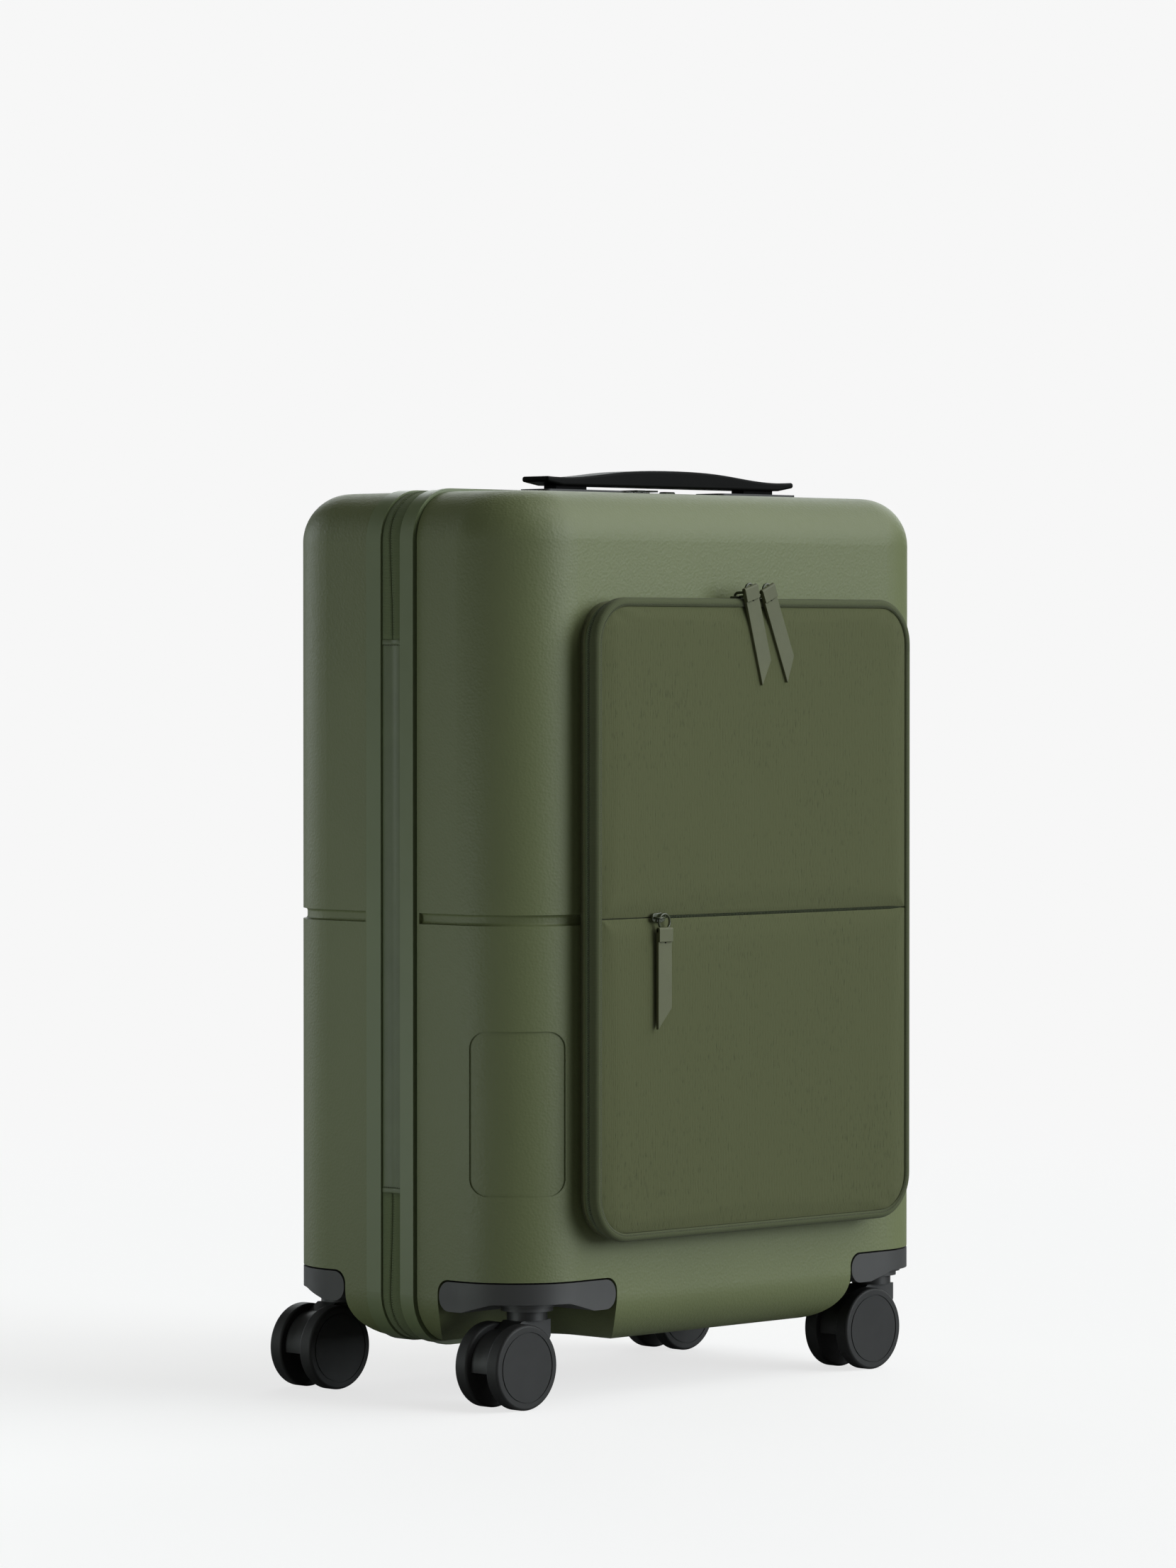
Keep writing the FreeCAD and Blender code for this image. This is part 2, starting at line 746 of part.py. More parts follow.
def build_lock():
    body = lock_block(0, case_top + lock_proud)
    room = dial_radius + dial_gap
    last_x = dial_first_x + (dial_count - 1) * dial_pitch
    for index in range(dial_count):
        x, z = dial_place(index)
        slot = cylinder_x(room, x - dial_width / 2 - dial_gap, x + dial_width / 2 + dial_gap, dial_y, z)
        body = body.cut(slot)
    pin_reach = dial_width / 2 + dial_pin_seat
    dial_z = dial_place(0)[1]
    pin = cylinder_x(dial_pin_radius, dial_first_x - pin_reach, last_x + pin_reach, dial_y, dial_z)
    body = joined(body, pin)
    half_l = button_length / 2 + slide_gap
    half_w = button_width / 2 + slide_gap
    pocket = block(button_x - half_l, button_x + half_l, dial_y - half_w, dial_y + half_w,
                   case_top + lock_proud + button_proud - button_height - button_travel_room, far)
    body = body.cut(pocket)
    save("lock_body", body)
    for index in range(dial_count):
        x, z = dial_place(index)
        dial = cylinder_x(dial_radius, x - dial_width / 2, x + dial_width / 2, dial_y, z)
        bore = cylinder_x(dial_pin_radius + running_fit, x - dial_width, x + dial_width, dial_y, z)
        for notch in range(dial_notches):
            angle = 2 * math.pi * (notch + 0.5) / dial_notches
            dial = dial.cut(cylinder_x(dial_notch_radius, x - dial_width, x + dial_width,
                                       dial_y + dial_radius * math.cos(angle),
                                       z + dial_radius * math.sin(angle)))
        save("lock_dial_" + str(index + 1), dial.cut(bore))
    top = case_top + lock_proud + button_proud
    button = rounded(button_x - button_length / 2, button_x + button_length / 2, dial_y - button_width / 2,
                     dial_y + button_width / 2, top - button_height, top, button_round, 2)
    button = button.makeFillet(button_edge, edges_level_at(button, top))
    save("lock_button", button)


def build_main_sliders():
    bottom = case_top + tape_proud + side_gap
    for index, x in enumerate(slider_xs):
        body = rounded(x - slider_length / 2, x + slider_length / 2, zip_line_y - slider_width / 2,
                       zip_line_y + slider_width / 2, bottom, bottom + slider_height, slider_round, 2)
        tab_bottom = case_top + bead_proud + tab_clear
        tab = rounded(x - tab_width / 2, x + tab_width / 2, tab_end_y, zip_line_y, tab_bottom,
                      tab_bottom + tab_thickness, tab_round, 2)
        neck = block(x - slider_neck_width / 2, x + slider_neck_width / 2, zip_line_y - slider_neck_length,
                     zip_line_y, bottom + slider_neck_overlap, tab_bottom + slider_neck_overlap)
        save("main_zip_slider_" + str(index + 1), joined(body, neck, tab))


# ---------------------------------------------------------------- trolley

def tray_block(outset, top):
    return rounded(-tray_half_length - outset, tray_half_length + outset, tray_front - outset,
                   tray_back + outset, case_top - tray_depth, top, tray_round, 2)


def tube_solid(side, inset, z_lo, z_hi, wall):
    """One stage of a trolley leg, a rounded tube or, with no wall, the block that it fills."""
    x = side * tube_x
    half_x, half_y = tube_width / 2 - inset, tube_depth / 2 - inset
    shape = rounded(x - half_x, x + half_x, tube_y - half_y, tube_y + half_y, z_lo, z_hi,
                    tube_round - inset, 2)
    if wall > 0:
        shape = shape.cut(rounded(x - half_x + wall, x + half_x - wall, tube_y - half_y + wall,
                                  tube_y + half_y - wall, z_lo - 1, z_hi + 1,
                                  max(tube_least_round, tube_round - inset - wall), 2))
    return shape


def build_trolley():
    floor_top = case_top - tray_depth + tray_floor
    stage = tube_wall + tube_gap
    tray = tray_block(0, case_top)
    hollow = rounded(-tray_half_length + tray_wall, tray_half_length - tray_wall, tray_front + tray_wall,
                     tray_back - tray_wall, floor_top, far, tray_round - tray_wall, 2)
    tray = tray.cut(hollow).common(case_form(0))
    guides, outers, middles, inners, feet = [], [], [], [], []
    tube_top = case_top - tray_depth
    guide_half = tube_width / 2 + guide_wall
    foot_half = tube_width / 2 + foot_margin
    for side in (-1, 1):
        tray = tray.cut(tube_solid(side, stage - tube_gap, tube_top - 1, floor_top + 1, 0))
        guide = rounded(side * tube_x - guide_half, side * tube_x + guide_half, tube_y - tube_depth / 2,
                        tube_y + tube_depth / 2 + guide_wall, tube_top - guide_height, tube_top,
                        guide_round, 2)
        guides.append(guide.cut(tube_solid(side, 0, tube_top - guide_height - 1, tube_top + 1, 0)))
        outers.append(tube_solid(side, 0, tube_bottom, tube_top, tube_wall))
        middles.append(tube_solid(side, stage, tube_bottom + stage_rise, floor_top, tube_wall))
        inners.append(tube_solid(side, 2 * stage, tube_bottom + 2 * stage_rise, grip_bottom, tube_wall))
        foot = block(side * tube_x - foot_half, side * tube_x + foot_half,
                     tube_y - tube_depth / 2, back_face_y - shell_wall, tube_bottom - foot_floor,
                     tube_bottom + foot_height)
        foot = foot.cut(tube_solid(side, 0, tube_bottom, tube_bottom + foot_height + 1, 0))
        feet.append(foot.common(case_form(shell_wall)))
    save("trolley_tray", tray, *guides)
    save("trolley_outer_tubes", *outers)
    save("trolley_middle_tubes", *middles)
    save("trolley_inner_tubes", *inners)
    save("trolley_feet", *feet)

    grip = block(-grip_half_length, grip_half_length, grip_front, grip_back, grip_bottom, grip_top)
    grip = grip.makeFillet(grip_round, edges_along(grip, 0) + edges_along(grip, 2))
    half_l, half_w = grip_button_length / 2, grip_button_width / 2
    middle_y = (grip_front + grip_back) / 2
    pocket = block(-half_l - slide_gap, half_l + slide_gap, middle_y - half_w - slide_gap,
                   middle_y + half_w + slide_gap, grip_top - grip_button_height - grip_button_travel, far)
    save("trolley_grip", grip.cut(pocket))
    top = grip_top + grip_button_proud
    button = rounded(-half_l, half_l, middle_y - half_w, middle_y + half_w, grip_top - grip_button_height,
                     top, grip_button_round, 2)
    save("trolley_button", button.makeFillet(grip_button_edge, edges_level_at(button, top)))


# ---------------------------------------------------------------- inside of the case

def build_inside():
    tube_face = tube_y - tube_depth / 2
    back = rounded(-lining_half_width, lining_half_width, tube_face - lining_thickness, tube_face,
                   lining_bottom, lining_top, lining_round, 1)
    save("back_lining", back)
    inner_face = front_face_y + shell_wall + lining_gap
    split = groove_width / 2 + shell_wall + front_lining_split
    front = rounded(-front_lining_half_width, front_lining_half_width, inner_face, inner_face + lining_thickness,
                    lining_bottom, groove_z - split, lining_round, 1)
    upper = rounded(-front_lining_half_width, front_lining_half_width, inner_face, inner_face + lining_thickness,
                    groove_z + split, lining_top, lining_round, 1)
    save("front_lining", front, upper)
    face = tube_face - lining_thickness
    straps, buckles = [], []
    for z in strap_zs:
        strap = rounded(-strap_half_length, strap_half_length, face - strap_thickness, face,
                        z - strap_width / 2, z + strap_width / 2, strap_round, 1)
        straps.append(strap)
        front_y = face - strap_thickness
        buckles.append(rounded(-buckle_length / 2, buckle_length / 2, front_y - buckle_thickness, front_y,
                               z - buckle_width / 2, z + buckle_width / 2, buckle_round, 1))
    save("compression_straps", *(straps + buckles))


# ---------------------------------------------------------------- front sleeve

def sleeve_slab(inset, y_lo, y_hi):
    """A slab with the sleeve's outline, drawn in by an inset."""
    return rounded(-sleeve_half_width + inset, sleeve_half_width - inset, y_lo, y_hi, sleeve_bottom + inset,
                   sleeve_top - inset, sleeve_radius - inset, 1)


def sleeve_base(inset, y_lo, y_hi):
    """A slab with the outline of the sleeve's foot on the case, drawn in by an inset."""
    half = sleeve_half_width - sleeve_base_side - inset
    return rounded(-half, half, y_lo, y_hi, sleeve_bottom + sleeve_base_level + inset,
                   sleeve_top - sleeve_base_level - inset, sleeve_radius - sleeve_base_level - inset, 1)


def build_sleeve():
    wall = sleeve_base(0, sleeve_zip_back, front_face_y)
    lip = sleeve_slab(zip_tape_inset, sleeve_zip_back, sleeve_zip_back + sleeve_lip)
    room = sleeve_base(sleeve_wall, sleeve_zip_back - 1, front_face_y - sleeve_back_thickness)
    save("sleeve_back", joined(wall, lip).cut(room))
    tape = sleeve_slab(zip_tape_inset, sleeve_zip_front + side_gap, sleeve_zip_back)
    room = sleeve_slab(zip_tape_inset + zip_tape_thickness, sleeve_zip_front - 1, sleeve_zip_back + 1)
    tape = tape.cut(room)
    save("sleeve_zip_tape", tape)

    panel_back = sleeve_front + 2 * flap_thickness + flap_layer_gap
    rim = sleeve_slab(0, sleeve_front, sleeve_zip_front)
    rim = rim.cut(sleeve_slab(rim_width, sleeve_front - 1, sleeve_zip_front + 1))
    lining = sleeve_slab(rim_width, panel_back - flap_thickness, panel_back)
    outer = sleeve_slab(rim_width, sleeve_front, panel_back - flap_thickness - flap_layer_gap)
    upper = outer.cut(block(-far, far, -far, 0, 0, pocket_seam_z + pocket_seam_gap / 2))
    lower = outer.common(block(-far, far, -far, 0, 0, pocket_seam_z - pocket_seam_gap / 2))
    save("flap_rim", rim)
    save("flap_lining", lining)
    save("flap_upper_panel", upper)
    save("flap_pocket_panel", lower)


def pull_strap(x, z, y_front):
    """A folded strap that hangs from a ring at x, z, its flat face towards -y."""
    half = pull_width / 2
    top = z
    bottom = z - pull_length
    outline = [V(x - half, y_front, top), V(x + half, y_front, top), V(x + half, y_front, bottom + pull_tip),
               V(x - half, y_front, bottom)]
    strap = Part.Face(Part.makePolygon(outline + outline[:1])).extrude(V(0, pull_thickness, 0))
    fold = block(x - half, x + half, y_front - pull_fold_thickness, y_front, top - pull_fold_length, top)
    return joined(strap, fold)


def zip_pull(x, bridge_z, ring_radius, ring_y, ring_above, strap_top, y_front, tilt):
    """A ring on a slider's bridge with its strap, tilted about the bridge. ring_above lifts the ring."""
    drop = ring_radius - ring_wire - bridge_radius - side_gap
    centre_z = bridge_z + drop if ring_above else bridge_z - drop
    ring = Part.makeTorus(ring_radius, ring_wire, V(x, ring_y, centre_z), Y_AXIS)
    strap = pull_strap(x, strap_top, y_front)
    pull = joined(strap, ring)
    pull.rotate(V(x, 0, bridge_z), Y_AXIS, -tilt)
    return pull


def build_top_sliders():
    bottom = sleeve_top - zip_tape_inset + side_gap
    strap_back = sleeve_front - pull_gap
    ring_y = strap_back + ring_wire - ring_sink
    for index, x in enumerate(top_slider_xs):
        body = rounded(x - top_slider_length / 2, x + top_slider_length / 2,
                       top_slider_front, top_slider_back, bottom, bottom + top_slider_height,
                       top_slider_round, 2)
        post = block(x - bridge_post_width / 2, x + bridge_post_width / 2, top_slider_front,
                     top_slider_front + bridge_post_depth, bottom + top_slider_height - bridge_post_overlap,
                     top_bridge_z + bridge_radius)
        bridge = cylinder_y(bridge_radius, strap_back, top_slider_front + bridge_post_depth / 2, x, top_bridge_z)
        save("sleeve_slider_" + str(index + 1), joined(body, post, bridge))
        pull = zip_pull(x, top_bridge_z, top_ring_radius, ring_y, True, top_bridge_z + top_strap_rise,
                        strap_back - pull_thickness, top_pull_tilts[index])
        bar = cylinder_y(bridge_radius + side_gap, -far, far, x, top_bridge_z)
        save("sleeve_pull_" + str(index + 1), pull.cut(bar))


def build_mid_slider():
    x, z = mid_slider_x, pocket_seam_z
    back = sleeve_front - side_gap
    front = back - mid_slider_height
    body = rounded(x - mid_slider_length / 2, x + mid_slider_length / 2, front, back,
                   z - mid_slider_width / 2, z + mid_slider_width / 2, mid_slider_round, 1)
    bridge_x = x + mid_bridge_offset
    bridge = cylinder_y(bridge_radius, back - mid_bridge_reach, back, bridge_x, z)
    save("sleeve_slider_3", joined(body, bridge))
    strap_front = back - mid_strap_lift - pull_thickness
    pull = zip_pull(bridge_x, z, mid_ring_radius, strap_front + pull_thickness / 2, False,
                    z - mid_strap_drop, strap_front, 0.0)
    save("sleeve_pull_3", pull)


os.makedirs("parts", exist_ok=True)
build_rails(*build_shells())
build_zip()
build_casters()
build_handle()
build_lock()
build_main_sliders()
build_trolley()
build_inside()
build_sleeve()
build_top_sliders()
build_mid_slider()
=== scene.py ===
import math
import bmesh
import bpy
from mathutils import Matrix, Vector


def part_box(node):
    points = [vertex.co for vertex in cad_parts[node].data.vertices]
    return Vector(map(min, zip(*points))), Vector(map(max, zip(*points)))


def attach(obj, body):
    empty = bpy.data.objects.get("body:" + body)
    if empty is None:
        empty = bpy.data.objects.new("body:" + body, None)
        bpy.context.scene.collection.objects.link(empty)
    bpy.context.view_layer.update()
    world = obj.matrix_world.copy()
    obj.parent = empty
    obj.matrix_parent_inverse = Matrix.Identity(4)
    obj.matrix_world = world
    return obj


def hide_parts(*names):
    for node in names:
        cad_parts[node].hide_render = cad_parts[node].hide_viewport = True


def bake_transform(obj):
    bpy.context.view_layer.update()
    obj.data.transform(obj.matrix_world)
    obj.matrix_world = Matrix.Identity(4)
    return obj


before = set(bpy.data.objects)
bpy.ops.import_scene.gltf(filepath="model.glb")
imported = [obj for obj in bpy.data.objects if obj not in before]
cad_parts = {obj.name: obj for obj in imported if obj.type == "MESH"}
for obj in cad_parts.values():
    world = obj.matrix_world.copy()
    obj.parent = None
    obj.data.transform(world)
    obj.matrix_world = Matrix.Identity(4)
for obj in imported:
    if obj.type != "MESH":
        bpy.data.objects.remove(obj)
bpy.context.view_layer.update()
mm = 0.001


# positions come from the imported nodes, all in metres
shellLow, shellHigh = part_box("front_shell")
tapeFrontLow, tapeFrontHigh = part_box("zip_tape_front")
tapeBackLow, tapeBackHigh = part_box("zip_tape_back")
panelLow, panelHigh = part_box("hinge_panel")
rimLow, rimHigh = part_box("flap_rim")
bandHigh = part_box("sleeve_zip_tape")[1]
caseMidX = (shellLow.x + shellHigh.x) / 2
faceY = shellLow.y
sleeveMidX = (rimLow.x + rimHigh.x) / 2
sleeveHalf = (rimHigh.x - rimLow.x) / 2
zipLineY = (tapeFrontHigh.y + tapeBackLow.y) / 2


# ---- small mesh helpers ----

def addMesh(name, verts, faces, smooth=True, uvs=None):
    mesh = bpy.data.meshes.new(name)
    mesh.from_pydata(verts, [], faces)
    mesh.validate()
    skin = bmesh.new()
    skin.from_mesh(mesh)
    bmesh.ops.recalc_face_normals(skin, faces=skin.faces)
    skin.to_mesh(mesh)
    skin.free()
    if smooth:
        mesh.polygons.foreach_set("use_smooth", [True] * len(mesh.polygons))
    if uvs:
        layer = mesh.uv_layers.new(name="weave")
        for loop in mesh.loops:
            layer.data[loop.index].uv = uvs[loop.vertex_index]
    mesh.update()
    piece = bpy.data.objects.new(name, mesh)
    bpy.context.scene.collection.objects.link(piece)
    return piece


def padFaces(rows, cols):
    # the faces of two sheets of points and of the edge between them, and the points round that edge
    layer = rows * cols
    faces = []
    for r in range(rows - 1):
        for c in range(cols - 1):
            a = r * cols + c
            faces.append((a, a + 1, a + cols + 1, a + cols))
            faces.append((layer + a, layer + a + cols, layer + a + cols + 1, layer + a + 1))
    ring = list(range(cols)) + [r * cols + cols - 1 for r in range(1, rows)]
    ring += [(rows - 1) * cols + c for c in range(cols - 2, -1, -1)] + [r * cols for r in range(rows - 2, 0, -1)]
    faces += [(a, layer + a, layer + b, b) for a, b in zip(ring, ring[1:] + ring[:1])]
    return faces, ring


def outlineOf(midX, halfX, zLow, zHigh, radius, step=0.006, arcSteps=12):
    # a rounded rectangle in x and z: points, outward normals and the length run so far
    spots = []
    corners = ((1, 1, 0), (-1, 1, 90), (-1, -1, 180), (1, -1, 270))
    for sideX, sideZ, startAngle in corners:
        cx = midX + sideX * (halfX - radius)
        cz = (zHigh - radius) if sideZ > 0 else (zLow + radius)
        for k in range(arcSteps + 1):
            angle = math.radians(startAngle + 90 * k / arcSteps)
            nx, nz = math.cos(angle), math.sin(angle)
            spots.append((cx + radius * nx, cz + radius * nz, nx, nz))
    path, run = [], 0.0
    for index, spot in enumerate(spots):
        after = spots[(index + 1) % len(spots)]
        gap = math.hypot(after[0] - spot[0], after[1] - spot[1])
        pieces = max(1, int(round(gap / step)))
        for k in range(pieces):
            t = k / pieces
            nx = spot[2] + (after[2] - spot[2]) * t
            nz = spot[3] + (after[3] - spot[3]) * t
            size = math.hypot(nx, nz)
            path.append((spot[0] + (after[0] - spot[0]) * t, spot[1] + (after[1] - spot[1]) * t,
                         nx / size, nz / size, run + gap * t))
        run += gap
    return path, run


def sweep(name, path, profileAt, closed=True):
    # profileAt(run, spot) gives the closed section as (outward, y) pairs
    verts, uvs, faces = [], [], []
    count = 0
    for spot in path:
        section = profileAt(spot[4], spot)
        count = len(section)
        across = 0.0
        for k, (out, y) in enumerate(section):
            if k:
                across += math.hypot(out - section[k - 1][0], y - section[k - 1][1])
            verts.append((spot[0] + spot[2] * out, y, spot[1] + spot[3] * out))
            uvs.append((spot[4], across))
    rings = len(path)
    for ring in range(rings if closed else rings - 1):
        after = (ring + 1) % rings
        for k in range(count):
            nextK = (k + 1) % count
            faces.append((ring * count + k, ring * count + nextK, after * count + nextK, after * count + k))
    if not closed:
        faces.append(tuple(range(count)))
        faces.append(tuple(reversed(range((rings - 1) * count, rings * count))))
    return addMesh(name, verts, faces, uvs=uvs)


def along(path, total, pitch, closed=True, start=0.0, end=None):
    # evenly spaced spots along a path, with the direction of travel
    end = total if end is None else end
    spots, target = [], start
    rings = len(path)
    for index in range(rings if closed else rings - 1):
        a, b = path[index], path[(index + 1) % rings]
        runA = a[4]
        runB = b[4] if index + 1 < rings else total
        while target < runB and target <= end:
            if target >= runA:
                t = (target - runA) / max(1e-9, runB - runA)
                x, z = a[0] + (b[0] - a[0]) * t, a[1] + (b[1] - a[1]) * t
                nx, nz = a[2] + (b[2] - a[2]) * t, a[3] + (b[3] - a[3]) * t
                size = math.hypot(nx, nz)
                spots.append((x, z, nx / size, nz / size, target))
            target += pitch
    return spots


def threadRow(name, spots, radius, sides=6, flat=1.0):
    # each spot is centre, half vector along the thread and the way up; one tapered bead each
    verts, faces = [], []
    stations = ((-1.0, 0.25), (-0.72, 0.85), (0.0, 1.0), (0.72, 0.85), (1.0, 0.25))
    for centre, half, up in spots:
        sideways = half.cross(up).normalized()
        lift = up.normalized()
        base = len(verts)
        for at, size in stations:
            for k in range(sides):
                angle = 2 * math.pi * k / sides
                around = sideways * math.cos(angle) + lift * (math.sin(angle) * flat)
                verts.append(tuple(centre + half * at + around * (radius * size)))
        for ring in range(len(stations) - 1):
            for k in range(sides):
                nextK = (k + 1) % sides
                faces.append((base + ring * sides + k, base + ring * sides + nextK,
                              base + (ring + 1) * sides + nextK, base + (ring + 1) * sides + k))
        last = base + (len(stations) - 1) * sides
        faces.append(tuple(base + k for k in reversed(range(sides))))
        faces.append(tuple(last + k for k in range(sides)))
    return addMesh(name, verts, faces)


def finishOff(piece, body, slotName, lookName, *nodes):
    piece.data.materials.clear()
    piece.data.materials.append(looks[lookName])
    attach(piece, body)
    if nodes:
        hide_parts(*nodes)
    return piece


# ---- materials ----

waveLength = 0.314          # a wave texture of scale 1 repeats after this many units


def addNode(tree, kind, inputs, **settings):
    # each input is a plain value or another node's socket
    node = tree.nodes.new("ShaderNode" + kind)
    for key, value in settings.items():
        setattr(node, key, value)
    for key, value in inputs.items():
        if isinstance(value, bpy.types.NodeSocket):
            tree.links.new(value, node.inputs[key])
        else:
            node.inputs[key].default_value = value
    return node


class lookMaker:
    # a short way to lay a material's nodes
    def __init__(self, name, color, roughness, **sockets):
        self.material = bpy.data.materials.new(name)
        self.material.use_nodes = True
        self.tree = self.material.node_tree
        self.shader = self.tree.nodes["Principled BSDF"].inputs
        self.shader["Base Color"].default_value = (*color, 1)
        self.shader["Roughness"].default_value = roughness
        for key, value in sockets.items():
            self.shader[key.replace("_", " ")].default_value = value
        self.coords = addNode(self.tree, "TexCoord", {}).outputs

    def add(self, kind, output, inputs, **settings):
        return addNode(self.tree, kind, inputs, **settings).outputs[output]

    def place(self, scale=(1, 1, 1), source="Object"):
        return self.add("Mapping", "Vector", {"Vector": self.coords[source], "Scale": scale})

    def noise(self, vector, scale, detail=2.0, rough=0.5):
        return self.add("TexNoise", "Fac", {"Vector": vector, "Scale": scale, "Detail": detail, "Roughness": rough})

    def cells(self, vector, scale, smooth):
        inputs = {"Vector": vector, "Scale": scale, "Smoothness": smooth}
        return self.add("TexVoronoi", "Distance", inputs, feature="SMOOTH_F1")

    def wave(self, vector, pitch, direction, distortion):
        inputs = {"Vector": vector, "Scale": waveLength / pitch, "Distortion": distortion}
        return self.add("TexWave", "Fac", inputs, bands_direction=direction)

    def math(self, kind, a, b):
        return self.add("Math", 0, {0: a, 1: b}, operation=kind)

    def shade(self, factor, color, low, high, lowAt=0.3, highAt=0.7):
        # the colour runs from a darker to a lighter tint of itself
        node = addNode(self.tree, "ValToRGB", {"Fac": factor})
        for end, amount, at in zip(node.color_ramp.elements, (low, high), (lowAt, highAt)):
            end.position = at
            end.color = (*tint(color, amount), 1)
        self.tree.links.new(node.outputs["Color"], self.shader["Base Color"])

    def rough(self, factor, low, high):
        spread = self.add("MapRange", "Result", {"Value": factor, "To Min": low, "To Max": high})
        self.tree.links.new(spread, self.shader["Roughness"])

    def bump(self, height, distance, strength):
        normal = self.add("Bump", "Normal", {"Height": height, "Distance": distance, "Strength": strength})
        self.tree.links.new(normal, self.shader["Normal"])


def tint(color, factor):
    return tuple(c * factor for c in color)


paint = {
    "shell": (0.122, 0.142, 0.062),
    "rail": (0.124, 0.154, 0.074),
    "tape": (0.100, 0.124, 0.060),
    "sleeve": (0.062, 0.068, 0.031),
    "piping": (0.070, 0.080, 0.039),
    "pull": (0.080, 0.086, 0.038),
    "lining": (0.060, 0.070, 0.045),
    "black": (0.016, 0.016, 0.016),
    "wheel": (0.014, 0.014, 0.014),
}


def shellLook():
    look = lookMaker("shellGrain", paint["shell"], 0.5, Specular_IOR_Level=0.38)
    spot = look.place()
    broad = look.noise(spot, 9.0, 2.0)
    look.shade(broad, paint["shell"], 0.965, 1.035)
    grain = look.cells(spot, 620.0, 0.6)
    fine = look.noise(spot, 1500.0, 3.0, 0.6)
    look.rough(look.noise(spot, 260.0, 2.0), 0.45, 0.55)
    height = look.math("ADD", grain, look.math("MULTIPLY", fine, 0.35))
    look.bump(height, 0.00013, 1.0)
    return look.material


def railLook():
    look = lookMaker("railSatin", paint["rail"], 0.36, Specular_IOR_Level=0.5)
    spot = look.place()
    broad = look.noise(spot, 14.0, 2.0)
    look.shade(broad, paint["rail"], 0.97, 1.03)
    look.rough(look.noise(spot, 90.0, 3.0), 0.32, 0.42)
    look.bump(look.noise(spot, 1800.0, 2.0), 0.00002, 0.5)
    return look.material


def wovenLook(name, color, warpPitch, weftPitch, depth, source="UV"):
    # plain weave: two sets of threads crossing, one up where the other is down
    look = lookMaker(name, color, 0.86, Sheen_Weight=0.05, Sheen_Roughness=0.5, Specular_IOR_Level=0.2)
    spot = look.place(source=source)
    warp = look.wave(spot, warpPitch, "X", 0.4)
    weft = look.wave(spot, weftPitch, "Y", 0.4)
    mixed = look.math("MAXIMUM", warp, look.math("MULTIPLY", weft, 0.9))
    fuzz = look.noise(spot, 1400.0, 3.0, 0.6)
    height = look.math("ADD", mixed, look.math("MULTIPLY", fuzz, 0.5))
    # the colour follows the weave's height: painted shade on the low threads and painted light on the raised ones, with
    # random tone from the fuzz
    look.shade(height, color, 0.72, 1.12, 0.25, 1.1)
    look.bump(height, depth, 0.9)
    return look.material


def twillLook():
    # upright broken ribs, closer than a millimetre, over a soft cloth
    color = paint["sleeve"]
    look = lookMaker("sleeveTwill", color, 0.9, Sheen_Weight=0.05, Sheen_Roughness=0.5, Specular_IOR_Level=0.18)
    ribs = look.noise(look.place(scale=(1.0, 0.22, 1.0), source="UV"), 760.0, 2.0, 0.55)
    rib = look.wave(look.place(source="UV"), 0.00085, "X", 1.1)
    fuzz = look.noise(look.place(source="UV"), 2100.0, 2.0, 0.6)
    broad = look.noise(look.place(source="UV"), 11.0, 2.0)
    height = look.math("ADD", look.math("MULTIPLY", ribs, 1.4), look.math("MULTIPLY", rib, 0.35))
    height = look.math("ADD", height, look.math("MULTIPLY", fuzz, 0.25))
    # the colour follows the rib height: painted shade in the rib hollows and painted light on the ribs, with a broad
    # random tone added
    shade = look.math("ADD", height, look.math("MULTIPLY", broad, 0.5))
    look.shade(shade, color, 0.62, 1.32, 0.75, 1.75)
    look.bump(height, 0.00016, 0.9)
    return look.material


def leatherLook(name, color, roughness=0.5):
    look = lookMaker(name, color, roughness, Specular_IOR_Level=0.42)
    spot = look.place()
    grain = look.cells(spot, 1300.0, 0.5)
    broad = look.noise(spot, 40.0, 2.0)
    look.shade(broad, color, 0.93, 1.07)
    look.rough(look.noise(spot, 300.0, 2.0), roughness - 0.05, roughness + 0.07)
    look.bump(grain, 0.00004, 0.7)
    return look.material


def blackLook(name, color, roughness, depth=0.00003, shine=0.45):
    look = lookMaker(name, color, roughness, Specular_IOR_Level=shine)
    spot = look.place()
    sand = look.noise(spot, 1600.0, 3.0, 0.6)
    look.rough(look.noise(spot, 120.0, 2.0), roughness - 0.06, roughness + 0.08)
    look.shade(look.noise(spot, 25.0, 2.0), color, 0.88, 1.12)
    look.bump(sand, depth, 0.8)
    return look.material


def metalLook(name, color, roughness, grainScale=(40, 40, 900)):
    look = lookMaker(name, color, roughness, Metallic=1.0)
    streak = look.noise(look.place(scale=grainScale), 1.0, 3.0)
    look.rough(streak, roughness - 0.07, roughness + 0.1)
    look.shade(streak, color, 0.9, 1.05)
    look.bump(streak, 0.00001, 0.4)
    return look.material


def threadLook(name, color):
    look = lookMaker(name, color, 0.8, Sheen_Weight=0.2, Specular_IOR_Level=0.3)
    twist = look.noise(look.place(), 2600.0, 2.0)
    # the colour follows the twist's height: painted shade in its low parts, with random tone
    look.shade(twist, color, 0.8, 1.15)
    look.bump(twist, 0.00004, 0.8)
    return look.material


